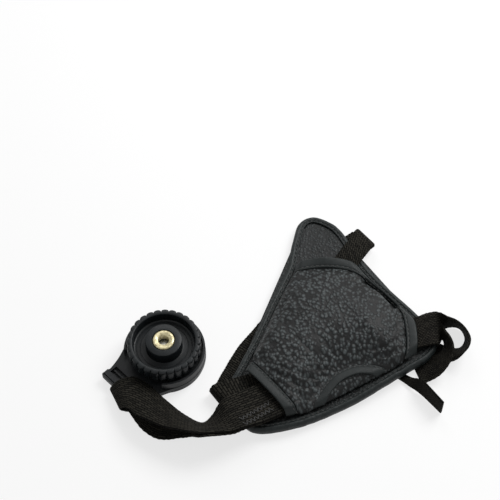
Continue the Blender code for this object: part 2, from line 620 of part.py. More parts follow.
def build_straps(parts, frame, pad):
    webbing = material("webbing_black", (0.012, 0.012, 0.011), 0.8)
    half = WEBBING_THICKNESS / 2
    layer = WEBBING_THICKNESS + GAP
    table = GAP + half

    def over(x, y, layers=0):
        """Centre height of webbing that lies over the binding."""
        return pad.binding_top(x * MM, y * MM) + GAP + half + layers * layer

    def within(x, y, layers=0):
        """Centre height of webbing that lies on the pad's face, under the panel."""
        return pad.face_top(x * MM, y * MM) + GAP + half + layers * layer

    def point(x, y, z):
        return (x * MM, y * MM, z)

    # Tab: from under the pad, round a slanting fold at the left, over the corner into the mouth
    tab = [
        (point(-0.6, 8.6, table), (0.80, -0.60, 0)), (point(-10.0, -4.0, table), (0.80, -0.60, 0)),
        (point(-17.4, -14.0, table), (0.81, -0.58, 0)), (point(-23.2, -25.0, table), (0.80, -0.60, 0)),
        (point(-28.8, -36.2, table), (0.66, -0.75, 0)), (point(-31.6, -40.6, table + 0.0008), (0.60, -0.80, 0)),
        (point(-33.0, -41.6, 0.0043), (0.60, -0.80, 0)),
        (point(-31.4, -41.0, over(-31, -41) - 0.0006), (0.60, -0.80, 0)),
        (point(-27.5, -39.8, over(-27, -40)), (0.50, -0.86, 0)),
        (point(-18.0, -36.6, over(-18, -37)), (0.32, -0.95, 0)),
        (point(-10.0, -34.0, within(-10, -34)), (0.30, -0.95, 0)),
        (point(-2.0, -31.4, within(-2, -31)), (0.30, -0.95, 0)),
    ]
    place(ribbon("side_tab", tab, WIDE_WEBBING, parts, webbing), frame)

    # Plate strap: mouth, upper leg, slanting fold, round the bar, lower leg, mouth
    axis_x, axis_y = PLATE_AXIS
    out_x, out_y = math.cos(LOOP_DIRECTION), math.sin(LOOP_DIRECTION)
    bar = (-out_y, out_x, 0.0)
    shift = SLOT_HALF_WIDTH - BUNCHED * WIDE_WEBBING / 2 - GAP

    def at_bar(reach, z):
        return (axis_x + out_x * reach + bar[0] * shift, axis_y + out_y * reach + bar[1] * shift, z)

    slot_middle = LOOP_REACH - BAR_DEPTH - 0.5 * SLOT_DEPTH
    under = RUBBER_THICKNESS - half
    over_bar = RUBBER_THICKNESS + GAP + PLATE_THICKNESS + GAP + half
    upper = [
        (point(-2.6, -37.4, within(-3, -37, 2.3)), (0.58, -0.81, 0)),
        (point(-9.5, -42.0, within(-9, -42, 2.65)), (0.58, -0.81, 0)),
        (point(-17.0, -46.0, over(-17, -46, 2.7)), (0.57, -0.82, 0)),
        (point(-26.6, -50.6, 0.0136), (0.46, -0.86, 0.16)),
        (point(-30.8, -53.0, 0.0127), (0.38, -0.84, 0.32)),
        (point(-35.0, -55.2, 0.0116), (0.24, -0.76, 0.56), 0.92),
        (point(-42.0, -57.6, 0.0114), (0.04, -0.66, 0.75), 0.86),
        (point(-51.0, -54.6, 0.0112), (0.0, -0.76, 0.64), 0.9),
        (point(-61.0, -48.8, 0.0104), (0.0, -0.92, 0.40), 0.95),
        (point(-69.0, -43.0, 0.0100), (0.0, -0.95, 0.30)),
        (point(-76.2, -38.9, 0.0095), (0.08, -0.98, 0.14)),
        (point(-81.6, -37.8, 0.0086), (0.26, -0.96, 0.03), 0.80),
        (point(-85.2, -38.6, 0.0050), (0.42, -0.91, 0), 0.66),
        (point(-83.5, -38.4, 0.0014), (0.57, -0.82, 0), 0.66),
    ]
    wrap = [
        (at_bar(LOOP_REACH + 0.0010, under), bar, BUNCHED),
        (at_bar(LOOP_REACH - BAR_DEPTH / 2, under), bar, BUNCHED),
        (at_bar(LOOP_REACH - BAR_DEPTH - 0.0004, under + 0.0001), bar, BUNCHED),
        (at_bar(slot_middle, under + 0.0013), bar, BUNCHED),
        (at_bar(slot_middle, over_bar - 0.0012), bar, BUNCHED),
        (at_bar(LOOP_REACH - BAR_DEPTH - 0.0003, over_bar), bar, BUNCHED),
        (at_bar(LOOP_REACH - BAR_DEPTH / 3, over_bar + 0.0001), bar, BUNCHED),
    ]
    lower_edges = [
        (point(-84.6, -36.8, 0.0061), point(-73.0, -43.4, 0.0061)),
        (point(-81.4, -43.0, 0.0060), point(-71.2, -43.2, 0.0062)),
        (point(-78.0, -46.6, 0.0050), point(-69.4, -42.4, 0.0062)),
        (point(-75.0, -50.4, 0.0030), point(-67.4, -42.0, 0.0060)),
        (point(-71.6, -54.0, 0.0016), point(-65.0, -42.0, 0.0056)),
        (point(-65.0, -58.2, 0.0010), point(-61.6, -42.6, 0.0052)),
        (point(-58.6, -58.9, 0.0010), point(-57.4, -44.0, 0.0043)),
        (point(-52.4, -58.5, 0.0020), point(-52.8, -46.4, 0.0034)),
        (point(-47.0, -60.4, 0.0078), point(-47.8, -49.0, 0.0026)),
    ]
    lower = []
    for near, far in lower_edges:
        near, far = Vector(near), Vector(far)
        lower.append((tuple((near + far) / 2), tuple(far - near), (far - near).length / WIDE_WEBBING))
    for centre, across, *share in beneath(upper[:7], 1.1 * layer)[::-1]:
        lower.append((centre, tuple(-value for value in across), *share))
    place(ribbon("plate_strap", upper + wrap + lower, WIDE_WEBBING, parts, webbing), frame)

    # Top strap: out of the top mouth, round a fold, back under the pad
    top = [
        (point(21.0, 24.0, within(21, 24)), (0.80, -0.60, 0)),
        (point(27.0, 32.6, within(27, 33)), (0.80, -0.60, 0)),
        (point(33.2, 42.0, over(33, 42)), (0.80, -0.60, 0)),
        (point(38.9, 49.8, over(38, 47)), (0.77, -0.64, 0)),
        (point(41.9, 55.2, 0.0074), (0.66, -0.75, 0)), (point(43.0, 56.8, 0.0042), (0.64, -0.77, 0)),
        (point(41.2, 57.0, table + 0.0006), (0.58, -0.81, 0)),
        (point(36.8, 55.6, table), (0.54, -0.84, 0)),
        (point(31.0, 48.6, table), (0.68, -0.73, 0)), (point(26.0, 41.0, table), (0.78, -0.62, 0)),
        (point(21.0, 33.0, table), (0.80, -0.60, 0)),
    ]
    place(ribbon("top_strap", top, NARROW_WEBBING, parts, webbing), frame)

    # Outer loop: flat out of the right mouth, on edge round the loop, flat again under the corner
    outer = [
        (point(52.0, -2.5, within(52, -2)), (0.03, -1.0, 0)),
        (point(60.0, -2.6, within(60, -2)), (0.03, -1.0, 0)),
        (point(67.4, -0.8, over(67, -1, 0.3)), (0.05, -1.0, 0)),
        (point(71.6, 0.6, 0.0102), (0.05, -1.0, 0)),
        (point(74.4, 1.3, 0.0097), (0.05, -0.98, -0.14)),
        (point(76.8, 1.8, 0.0078), (0.03, -0.78, -0.62)),
        (point(80.6, 3.3, 0.0070), (0.0, -0.04, -1.0)),
        (point(85.0, 2.9, 0.0069), (0.0, 0.24, -0.97)), (point(88.4, 0.9, 0.0068), (0.02, 0.40, -0.91)),
        (point(90.5, -2.4, 0.0067), (0.01, 0.47, -0.88)), (point(91.2, -6.0, 0.0067), (0.0, 0.49, -0.87)),
        (point(90.2, -9.4, 0.0066), (0.0, 0.54, -0.84)), (point(88.2, -11.8, 0.0062), (0.0, 0.58, -0.81)),
        (point(85.4, -13.0, 0.0048), (0.0, 0.74, -0.67)),
        (point(82.4, -12.8, 0.0030), (0.06, 0.92, -0.36), 0.88),
        (point(79.4, -11.8, 0.0014), (0.14, 0.98, -0.06), 0.82),
        (point(75.8, -10.4, table + 0.0001), (0.22, 0.97, 0), 0.85),
        (point(70.0, -8.4, table + 0.0001), (0.28, 0.95, 0), 0.9),
        (point(62.0, -5.0, table), (0.30, 0.95, 0)),
    ]
    place(ribbon("outer_loop_strap", outer, NARROW_WEBBING, parts, webbing), frame)

    # Inner loop: the same turn, tighter and on top of the outer one at the mouth
    inner = [
        (point(52.0, -8.4, within(52, -8, 1)), (0.03, -1.0, 0)),
        (point(60.0, -7.8, within(60, -8, 1)), (0.03, -1.0, 0)),
        (point(67.4, -6.6, over(67, -7, 1.3)), (0.05, -1.0, 0)),
        (point(72.0, -5.6, 0.0117), (0.05, -1.0, -0.02)),
        (point(74.8, -5.0, 0.0114), (0.04, -0.98, -0.18)),
        (point(76.9, -4.6, 0.0101), (0.0, -0.60, -0.80), 0.9),
        (point(78.8, -4.9, 0.0089), (0.0, 0.06, -1.0), 0.9),
        (point(80.4, -7.4, 0.0086), (-0.10, 0.26, -0.96), 0.95),
        (point(80.8, -11.2, 0.0084), (-0.26, 0.34, -0.90), 0.95),
        (point(79.4, -15.0, 0.0078), (-0.46, 0.46, -0.76), 0.95),
        (point(77.0, -17.8, 0.0066), (-0.56, 0.60, -0.57), 0.95),
        (point(73.2, -20.4, 0.0040), (-0.42, 0.84, -0.32)),
        (point(68.4, -21.2, 0.0015), (-0.24, 0.97, -0.03)), (point(63.6, -19.4, table), (-0.34, 0.94, 0)),
    ]
    place(ribbon("inner_loop_strap", inner, NARROW_WEBBING, parts, webbing), frame)

    # Tail: a cut end that comes from under the pad and stands on edge
    tail = [
        (point(45.0, -14.0, table), (0.66, 0.75, 0)), (point(51.0, -19.4, table), (0.66, 0.75, 0), 0.9),
        (point(57.0, -24.2, table), (0.66, 0.75, 0), 0.62),
        (point(61.2, -27.6, 0.0018), (0.60, 0.68, 0.26), 0.56),
        (point(64.2, -30.6, 0.0046), (0.34, 0.36, 0.86), 0.76),
        (point(67.4, -34.2, 0.0058), (0.10, 0.12, 1.0), 0.95),
        (point(75.2, -44.2, 0.0062), (0.0, 0.05, 1.0)),
    ]
    place(ribbon("strap_tail", tail, NARROW_WEBBING * 0.85, parts, webbing), frame)


def rest_frame(parts):
    """Puts the whole strap over the origin: its box is centred in X and Y, with its foot at Z 0."""
    bpy.context.view_layer.update()
    graph = bpy.context.evaluated_depsgraph_get()
    spots = []
    for item in parts.objects:
        if item.type != "MESH":
            continue
        shape = item.evaluated_get(graph)
        spots += [shape.matrix_world @ corner.co for corner in shape.data.vertices]
    low, high = np.min(spots, axis=0), np.max(spots, axis=0)
    middle = (low + high) / 2
    return Vector((-middle[0], -middle[1], -low[2]))


def main():
    clear_scene()
    parts = new_collection("hand_grip_strap")
    cutters = new_collection("cutters")
    root = bpy.data.objects.new("strap_frame", None)
    parts.objects.link(root)
    plate_frame = bpy.data.objects.new("plate_frame", None)
    plate_frame.parent = root
    plate_frame.location = (*PLATE_AXIS, 0.0)
    plate_frame.rotation_euler = (0.0, 0.0, LOOP_DIRECTION)
    parts.objects.link(plate_frame)

    clip_top, ledge_top, plate_top = build_plate(parts, cutters, plate_frame)
    build_wheel(parts, cutters, plate_frame, clip_top, ledge_top, plate_top)
    pad = Pad()
    build_pad(parts, root, pad)
    trim = material("trim_leather", (0.026, 0.028, 0.029), 0.36)
    build_trim("upper_trim", pad.upper_seam, -1.0, pad, parts, root, trim)
    build_trim("arch_trim", pad.arch_seam, -1.0, pad, parts, root, trim)
    build_trim("lower_trim", pad.low_seam, -1.0, pad, parts, root, trim)
    build_straps(parts, root, pad)
    root.location = rest_frame(parts)


main()
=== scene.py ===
"""The looks of a camera hand grip strap, lying on a table with its palm side up.

The pieces are laid out in metres on the table plan of the maker, and SHIFT carries them into the frame.
"""
import math

import bmesh
import bpy
import numpy as np
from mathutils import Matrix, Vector, geometry, noise


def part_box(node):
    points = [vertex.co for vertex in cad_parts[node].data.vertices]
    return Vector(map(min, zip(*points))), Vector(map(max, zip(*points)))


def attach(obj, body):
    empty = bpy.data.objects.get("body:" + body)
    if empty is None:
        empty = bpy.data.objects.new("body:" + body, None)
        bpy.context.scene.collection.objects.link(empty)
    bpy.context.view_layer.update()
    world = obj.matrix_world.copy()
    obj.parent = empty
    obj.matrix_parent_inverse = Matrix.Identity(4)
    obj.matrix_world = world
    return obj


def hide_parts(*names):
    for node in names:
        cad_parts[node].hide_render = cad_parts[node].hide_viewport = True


MM = 0.001
GAP = 0.0003

# The frame gives the place of the wheel's axis and of its underside
PLATE_AXIS = (-0.0618, -0.0131)
LOOP_DIRECTION = math.radians(225.0)

# Base plate and screw
PLATE_RADIUS = 0.0206
PLATE_THICKNESS = 0.0030
RUBBER_THICKNESS = 0.0016
RUBBER_INSET = 0.0004
RUBBER_RIBS = 7
LOOP_REACH = 0.0306
LOOP_HALF_WIDTH = 0.0138
LOOP_CORNER = 0.0007
BAR_DEPTH = 0.0042
SLOT_DEPTH = 0.0040
SLOT_HALF_WIDTH = 0.0117
ARM_FLARE = 0.0020
ARM_WAIST = 0.0008
ARM_ANGLE = math.radians(64.0)
BARE_BAR = (-0.0132, -0.0036)
BARE_SLOT = (-0.0120, -0.0036)
WALL_HEIGHT = 0.0048
WALL_THICKNESS = 0.0012
WALL_OPENING = math.radians(86.0)
THREAD_RADIUS = 0.003175
THREAD_PITCH = 0.00127
THREAD_DEPTH = 0.00055
NECK_RADIUS = 0.0025
SCREW_TRAVEL = 0.0045
CLIP_RADIUS = 0.0048
CLIP_THICKNESS = 0.0007
CLIP_TOP = 0.0055
HUB_WALL = 0.0014
LEDGE_THICKNESS = 0.0012
SCREW_TIP_HEIGHT = 0.0005
HEAD_RADIUS = 0.0050
HEAD_THICKNESS = 0.0012
SHAFT_HOLE = 0.003475
BOSS_FLOOR = 0.0010
WHEEL_RADIUS = 0.0185
WHEEL_HEIGHT = 0.0077
WHEEL_LOBES = 28
LOBE_DEPTH = 0.0010
LOBE_SIDES = 12
RIM_WIDTH = 0.0030
RECESS_DEPTH = 0.0060
RECESS_RINGS = (0.0140, 0.0121)
BOSS_RADIUS = 0.00915
BOSS_RISE = 0.0012
INSERT_RADIUS = 0.0054
INSERT_LENGTH = 0.0044
INSERT_CHAMFER = 0.0005
TURN_STEPS = 8
# Palm pad
LINING_THICKNESS = 0.0007
FOAM_THICKNESS = 0.0015
FACE_THICKNESS = 0.0008
BINDING_THICKNESS = 0.0007
BINDING_WIDTH = 0.0039
LAYER_INSET = 0.0022
PANEL_THICKNESS = 0.0012
PANEL_CROWN = 0.0098
PANEL_REACH = 0.0220
MOUTH_REACH = 0.0040
TRIM_WIDTH = 0.0052
TRIM_SPREAD = 0.0006
# Where the binding's lip leaves a trim no room, it is tucked under the lip
TUCKED_WIDTH = 0.0011
TRIM_THICKNESS = 0.0015
TRIM_LEAST = 0.0006
LIP_CLEARANCE = 0.0010
WIDE_WEBBING = 0.0200
NARROW_WEBBING = 0.0127
WEBBING_THICKNESS = 0.0012
LEAST_SLANT = 0.85
BUNCHED = 0.72
GATHERED = 0.9
STITCH_PITCH = 0.0026
STITCH_LENGTH = 0.0019
THREAD_THICKNESS = 0.00028
# The binding's stitches: distance from its edge, and heights over its underside
BINDING_SEAM = 0.00295
SEAM_ABOVE = 0.00522
SEAM_BELOW = 0.00016
TACK_WIDTH = 0.0009
TACK_PERIOD = 0.0021

# How far the palm panel may swell, and the cloth's inner pressure and spare length
PANEL_SWELL = 0.0012
PANEL_PRESSURE = 2.0
PANEL_SPARE = 0.03
CLOTH_FRAMES = 20

CAMERA_PLACE = (-0.01852436, -0.32625623, 0.57856351)
CAMERA_TILT = math.radians(33.0)
CAMERA_LENS = 92.88
SENSOR_WIDTH = 36.0
PAD_OUTLINE = [
    (-25.2, -48.0), (-20.8, -54.6), (-12.7, -57.0), (2.3, -54.4), (17.3, -48.6), (36.8, -38.8),
    (58.0, -25.6), (70.0, -18.0), (75.2, -11.0), (74.6, -4.6), (66.8, 8.0), (53.4, 23.2),
    (44.8, 33.8), (38.0, 44.8), (30.8, 58.6), (24.2, 66.1), (15.0, 70.0), (7.3, 65.6),
    (3.4, 52.7), (0.3, 36.7), (-9.2, 14.6), (-16.4, -3.4), (-24.0, -19.5), (-31.0, -36.0),
]
PAD_SUPPORTS = [
    (15.0, 66.0, 0.3), (0.0, 40.0, 1.0), (40.0, 46.0, 1.9), (31.0, 54.0, 2.0), (74.0, -8.0, 3.0),
    (60.0, 12.0, 2.4), (56.0, -26.0, 2.6), (20.0, -47.0, 0.5), (-10.0, -55.0, 1.4),
    (-28.0, -36.0, 1.9), (-14.0, 0.0, 1.8), (25.0, 5.0, 1.8), (-5.0, 20.0, 1.7), (-4.0, -20.0, 1.9),
]
TOP_SEAM = [(3.4, 31.4), (12.3, 33.1), (20.6, 33.5), (29.0, 32.7), (35.8, 30.2), (41.2, 26.2)]
SIDE_SEAM = [(47.6, 20.0), (51.8, 14.9)]
RIGHT_SEAM = [(54.9, 10.6), (57.6, 5.2), (58.5, 0.2), (58.9, -8.6), (58.4, -16.0), (57.4, -22.0)]
ARCH_SEAM = [(50.6, -26.4), (44.4, -23.2), (36.9, -22.3), (30.7, -23.2), (23.0, -27.0),
             (16.8, -33.4), (12.0, -41.3), (9.6, -47.2)]
LOW_SEAM = [(4.9, -49.6), (2.6, -45.6), (-1.8, -39.8), (-7.3, -33.5), (-12.9, -27.2), (-17.6, -22.6)]
LEFT_EDGE = [(-16.4, -14.6), (-12.0, -3.0), (-5.6, 13.6), (0.4, 24.0)]
MOUTH_RISES = {"top": 3.6, "right": 5.2, "arch": 3.0, "low": 6.7}

# Creases of the palm panel: start, end, depth and half width in millimetres
CREASES = [
    ((-15.5, -16.0), (-9.0, -2.0), 1.0, 1.5), ((-8.6, -4.0), (-2.0, 12.0), 0.9, 1.4),
    ((-11.5, -14.0), (-6.5, -3.0), 0.5, 1.0), ((-2.0, 10.0), (3.0, 23.0), 0.6, 1.2),
    ((-8.0, -29.0), (2.0, -33.5), 0.8, 1.0), ((0.0, -34.5), (9.0, -37.0), 0.9, 1.0),
    ((-5.0, -27.0), (6.0, -29.5), 0.6, 0.9), ((4.0, -31.0), (13.0, -31.5), 0.8, 0.9),
    ((2.0, -39.5), (9.0, -42.0), 0.8, 0.9), ((8.0, -35.0), (13.5, -34.5), 0.7, 0.8),
    ((9.0, -26.5), (18.0, -26.0), 0.5, 0.9), ((42.0, -16.0), (50.0, -14.5), 0.9, 0.9),
    ((47.0, -19.5), (56.0, -16.0), 0.9, 0.9), ((40.0, -20.0), (46.0, -19.0), 0.6, 0.8),
    ((50.0, -13.0), (56.0, -10.5), 0.6, 0.8), ((46.0, -22.5), (55.0, -22.0), 0.8, 0.8),
]


def smooth_path(points, steps, closed=False):
    """A Catmull-Rom curve through the points, as an array."""
    points = np.array(points, float)
    count = len(points)
    found = []
    for i in range(count if closed else count - 1):
        if closed:
            a, b, c, d = (points[(i + k) % count] for k in (-1, 0, 1, 2))
        else:
            a, b, c, d = (points[min(max(i + k, 0), count - 1)] for k in (-1, 0, 1, 2))
        for j in range(steps):
            t = j / steps
            found.append(0.5 * (2 * b + (c - a) * t + (2 * a - 5 * b + 4 * c - d) * t * t
                                + (3 * b - a - 3 * c + d) * t ** 3))
    if not closed:
        found.append(points[-1])
    return np.array(found)


def outward(path, closed=True):
    """Unit normals to the right of a flat path."""
    if closed:
        ahead = np.roll(path, -1, axis=0) - np.roll(path, 1, axis=0)
    else:
        ahead = np.gradient(path, axis=0)
    ahead /= np.linalg.norm(ahead, axis=1)[:, None]
    return np.stack([ahead[:, 1], -ahead[:, 0]], axis=1)


def distances(path, flat):
    """Distance from each flat point to an open flat path."""
    start = path[:-1]
    run = path[1:] - start
    offset = flat[:, None, :] - start[None]
    share = np.clip((offset * run).sum(axis=2) / (run ** 2).sum(axis=1), 0.0, 1.0)
    return np.linalg.norm(offset - run * share[..., None], axis=2).min(axis=1)


def within_loop(path, flat):
    """True for each point that a closed flat path goes round."""
    crossings = np.zeros(len(flat), int)
    for (ax, ay), (bx, by) in zip(path[:-1], path[1:]):
        if ay != by:
            spans = (ay > flat[:, 1]) != (by > flat[:, 1])
            crossings += spans & (flat[:, 0] < ax + (flat[:, 1] - ay) * (bx - ax) / (by - ay))
    return crossings % 2 == 1


def eased(share):
    return np.sin(np.clip(share, 0.0, 1.0) * math.pi / 2)


def as_flat(x, y):
    return np.array([[x, y]])


class Pad:
    """The plan and the heights of the palm pad and of the panel on it."""

    def __init__(self):
        self.outline = smooth_path(np.array(PAD_OUTLINE) * MM, 3, closed=True)
        self.normals = outward(self.outline)
        self.supports = np.array(PAD_SUPPORTS) * MM
        self.upper_seam = smooth_path(np.array(TOP_SEAM + SIDE_SEAM + RIGHT_SEAM) * MM, 4)
        self.arch_seam = smooth_path(np.array(ARCH_SEAM) * MM, 3)
        self.low_seam = smooth_path(np.array(LOW_SEAM) * MM, 3)
        self.left_edge = smooth_path(np.array(LOW_SEAM[-1:] + LEFT_EDGE + TOP_SEAM[:1]) * MM, 3)
        lip = self.outline - self.normals * BINDING_WIDTH
        self.lip = np.concatenate([lip, lip[:1]])
        self.side_seam = smooth_path(np.array(TOP_SEAM[-1:] + SIDE_SEAM + RIGHT_SEAM[:1]) * MM, 4)
        self.mouths = {"top": smooth_path(np.array(TOP_SEAM) * MM, 4),
                       "right": smooth_path(np.array(RIGHT_SEAM) * MM, 4),
                       "arch": self.arch_seam, "low": self.low_seam}
        self.stack = LINING_THICKNESS + FOAM_THICKNESS + FACE_THICKNESS + 4 * GAP

    def lift(self, flat):
        """Height of the binding's underside."""
        reach = ((flat[:, None, :] - self.supports[None, :, :2]) ** 2).sum(axis=2) + (8 * MM) ** 2
        weight = reach ** -1.5
        return (weight * self.supports[:, 2]).sum(axis=1) / weight.sum(axis=1)

    def lining_bottom(self, flat):
        return self.lift(flat) + BINDING_THICKNESS + GAP

    def foam_bottom(self, flat):
        return self.lining_bottom(flat) + LINING_THICKNESS + GAP

    def face_bottom(self, flat):
        return self.foam_bottom(flat) + FOAM_THICKNESS + GAP

    def face_top(self, flat):
        return self.face_bottom(flat) + FACE_THICKNESS

    def binding_top(self, flat):
        return self.lift(flat) + 2 * BINDING_THICKNESS + self.stack

    def panel_bottom(self, flat):
        """The face, plus a crown that falls to the sewn edges and the mouths."""
        sewn = np.minimum(distances(self.lip, flat), distances(self.side_seam, flat))
        near = {name: distances(path, flat) for name, path in self.mouths.items()}
        weights = {name: 1.0 / (value + 2 * MM) ** 3 for name, value in near.items()}
        total = sum(weights.values())
        mouth = sum(weights[name] * MOUTH_RISES[name] * MM for name in weights) / total
        closest = np.minimum.reduce(list(near.values()))
        crown = (PANEL_CROWN - mouth) * eased(sewn / PANEL_REACH) * eased(closest / PANEL_REACH)
        return self.face_top(flat) + GAP + mouth * eased(sewn / MOUTH_REACH) + crown

    def panel_outline(self):
        """The seams joined by the sewn edges, counter-clockwise."""
        upper = self.upper_seam[::-1][:-1]
        left = self.left_edge[::-1][:-1]
        low = self.low_seam[::-1]
        arch = self.arch_seam[::-1]
        return self.kept_inside(np.concatenate([low, arch, upper, left]), BINDING_WIDTH + 2 * GAP)

    def kept_inside(self, path, least):
        """Moves the points that lie closer than the least distance to the pad's edge inward."""
        edge = np.concatenate([self.outline, self.outline[:1]])
        moved = []
        for point in path:
            run = edge[1:] - edge[:-1]
            share = np.clip(((point - edge[:-1]) * run).sum(axis=1) / (run ** 2).sum(axis=1), 0.0, 1.0)
            nearest = edge[:-1] + run * share[:, None]
            distance = np.linalg.norm(point - nearest, axis=1)
            k = int(distance.argmin())
            if distance[k] < least:
                point = nearest[k] + (point - nearest[k]) / distance[k] * least
            moved.append(point)
        return np.array(moved)


def srgb(text):
    """A hex colour as linear values."""
    values = [int(text[i:i + 2], 16) / 255 for i in (1, 3, 5)]
    return (*(v / 12.92 if v <= 0.04045 else ((v + 0.055) / 1.055) ** 2.4 for v in values), 1.0)


def add(tree, kind, inputs=None, **settings):
    """Adds a node with its settings, and sets or links its inputs."""
    node = tree.nodes.new(kind)
    for key, value in settings.items():
        setattr(node, key, value)
    for key, value in (inputs or {}).items():
        if isinstance(value, bpy.types.NodeSocket):
            tree.links.new(value, node.inputs[key])
        else:
            node.inputs[key].default_value = value
    return node


def surface(name, build):
    """A material whose node tree build() fills. build gives the Principled shader's inputs."""
    made = bpy.data.materials.new(name)
    made.use_nodes = True
    tree = made.node_tree
    tree.nodes.clear()
    shader = add(tree, "ShaderNodeBsdfPrincipled", build(tree))
    add(tree, "ShaderNodeOutputMaterial", {"Surface": shader.outputs[0]})
    return made


def in_millimetres(tree, stretch=(1.0, 1.0, 1.0), turn=0.0):
    """Object coordinates in millimetres, stretched and turned."""
    where = add(tree, "ShaderNodeTexCoord").outputs["Object"]
    scale = tuple(value / MM for value in stretch)
    return add(tree, "ShaderNodeMapping", {"Vector": where, "Scale": scale,
                                           "Rotation": (0.0, 0.0, turn)}).outputs[0]


def ranged(tree, value, low, high, start=0.0, end=1.0):
    """A value mapped from low..high to start..end."""
    return add(tree, "ShaderNodeMapRange", {"Value": value, "From Min": low, "From Max": high,
                                            "To Min": start, "To Max": end}).outputs[0]


def blended(tree, share, first, second):
    """A colour between two colours."""
    return add(tree, "ShaderNodeMix", {0: share, 6: first, 7: second}, data_type="RGBA").outputs[2]


def worked(tree, operation, *values):
    """What a math node makes of its values."""
    return add(tree, "ShaderNodeMath", dict(enumerate(values)), operation=operation).outputs[0]


def noisy(tree, where, scale, detail, output=0):
    return add(tree, "ShaderNodeTexNoise", {"Vector": where, "Scale": scale, "Detail": detail}).outputs[output]


def bent(tree, where, scale, detail, reach):
    """Places moved sideways by noise, so that a pattern doesn't run straight."""
    warp = noisy(tree, where, scale, detail, "Color")
    return add(tree, "ShaderNodeVectorMath", {0: warp, 1: (reach, reach, 0.0), 2: where},
               operation="MULTIPLY_ADD").outputs[0]


def bumped(tree, height, strength, depth, invert=False):
    """The normal that a height gives, with its depth in millimetres."""
    return add(tree, "ShaderNodeBump", {"Height": height, "Strength": strength, "Distance": depth * MM},
               invert=invert).outputs[0]


def pebbled_leather(name, pebble, depth, low, high, shine):
    """Polyurethane leather embossed with a pebble grain: small glossy mounds with dull valleys. Its
    colour is painted lighter on the mound tops and darker in the valleys, a painted highlight and
    painted shade, times a broad random tone. The grain is drawn coarser than the real 1.2 mm so that
    each mound shows, and it is thin in Z, so that slopes carry the same grain."""
    def build(tree):
        where = in_millimetres(tree, (1.0, 0.84, 0.3), math.radians(24.0))
        cells = add(tree, "ShaderNodeTexVoronoi", {"Vector": bent(tree, where, 0.35, 0.0, 1.1),
                                                   "Scale": 1.0 / pebble, "Smoothness": 0.18},
                    feature="SMOOTH_F1").outputs["Distance"]
        mound = add(tree, "ShaderNodeMapRange", {"Value": cells, "From Min": 0.72, "From Max": 0.08},
                    interpolation_type="SMOOTHSTEP").outputs[0]
        fine = noisy(tree, where, 2.6, 3.0)
        broad = noisy(tree, where, 0.09, 2.0)
        height = worked(tree, "MULTIPLY_ADD", fine, 0.05, mound)
        # Painted highlight on the mound tops and painted shade in the valleys, times a broad random tone
        painted_highlight_and_tone = worked(tree, "MULTIPLY", ranged(tree, cells, 0.6, 0.15), ranged(tree, broad, 0.3, 0.7, 0.6, 1.0))
        return {"Base Color": blended(tree, painted_highlight_and_tone, srgb(low), srgb(high)),
                "Roughness": ranged(tree, fine, 0.25, 0.75, shine, shine + 0.16),
                "IOR": 1.5, "Specular IOR Level": 0.18, "Normal": bumped(tree, height, 1.0, depth)}
    return surface(name, build)


def smooth_leather(name, low, high, shine, wrinkle, depth):
    """Plain calendered polyurethane leather: a close grain, drawn coarser than real so that it shows,
    and soft wrinkles of a size and a depth in millimetres. The colour is darker in the wrinkles'
    hollows, as painted shade."""
    grain_depth = 0.06

    def build(tree):
        where = in_millimetres(tree)
        grain = add(tree, "ShaderNodeTexVoronoi", {"Vector": where, "Scale": 1.6},
                    feature="SMOOTH_F1").outputs["Distance"]
        drape = noisy(tree, where, 1.0 / wrinkle, 3.0)
        height = worked(tree, "MULTIPLY_ADD", drape, depth / grain_depth, grain)
        # Painted shade: the colour is darker in the wrinkle hollows, from the same noise as their height
        return {"Base Color": blended(tree, ranged(tree, drape, 0.3, 0.7), srgb(low), srgb(high)),
                "Roughness": ranged(tree, grain, 0.1, 0.7, shine, shine + 0.12),
                "IOR": 1.5, "Specular IOR Level": 0.18, "Normal": bumped(tree, height, 0.8, grain_depth)}
    return surface(name, build)


def woven_webbing(name, run, rib, turn=0.0):
    """Spun polypropylene webbing: floats of matt yarn side by side, the lighter floats partly the weave's
    pattern and partly a painted highlight, with dark gaps of painted shade between them.
    """
    def build(tree):
        laid = add(tree, "ShaderNodeUVMap", uv_map="laid_out").outputs["UV"]
        where = add(tree, "ShaderNodeMapping", {"Vector": laid, "Scale": (1 / MM, 1 / MM, 1.0),
                                                "Rotation": (0.0, 0.0, turn)}).outputs[0]
        # Color1 floats are partly the weave's pattern and partly a painted highlight; the near-black Mortar is
        # painted shade in the gaps between yarns
        yarn = add(tree, "ShaderNodeTexBrick",
                   {"Vector": bent(tree, where, 0.8, 2.0, 0.3), "Color1": srgb("#302e29"),
                    "Color2": srgb("#1c1b18"), "Mortar": srgb("#030303"), "Scale": 1.0,
                    "Mortar Size": 0.30 * rib, "Mortar Smooth": 1.0, "Bias": 0.0, "Brick Width": run,
                    "Row Height": rib}, offset=0.5)
        raised = worked(tree, "MULTIPLY_ADD", noisy(tree, where, 3.0, 3.0), -0.4, yarn.outputs["Fac"])
        return {"Base Color": yarn.outputs["Color"], "Roughness": 0.8, "IOR": 1.5,
                "Specular IOR Level": 0.06, "Normal": bumped(tree, raised, 1.0, 0.42, invert=True)}
    return surface(name, build)


def moulded_plastic(name, low, high, shine):
    """Moulded ABS: even and slightly bluish, with a fine spark-eroded grain and soft gloss."""
    def build(tree):
        where = in_millimetres(tree)
        wear = noisy(tree, where, 0.16, 4.0)
        return {"Base Color": blended(tree, ranged(tree, wear, 0.35, 0.7), srgb(low), srgb(high)),
                "Roughness": ranged(tree, wear, 0.3, 0.7, shine, shine + 0.14), "IOR": 1.54,
                "Specular IOR Level": 0.17, "Normal": bumped(tree, noisy(tree, where, 2.4, 3.0), 0.3, 0.05)}
    return surface(name, build)


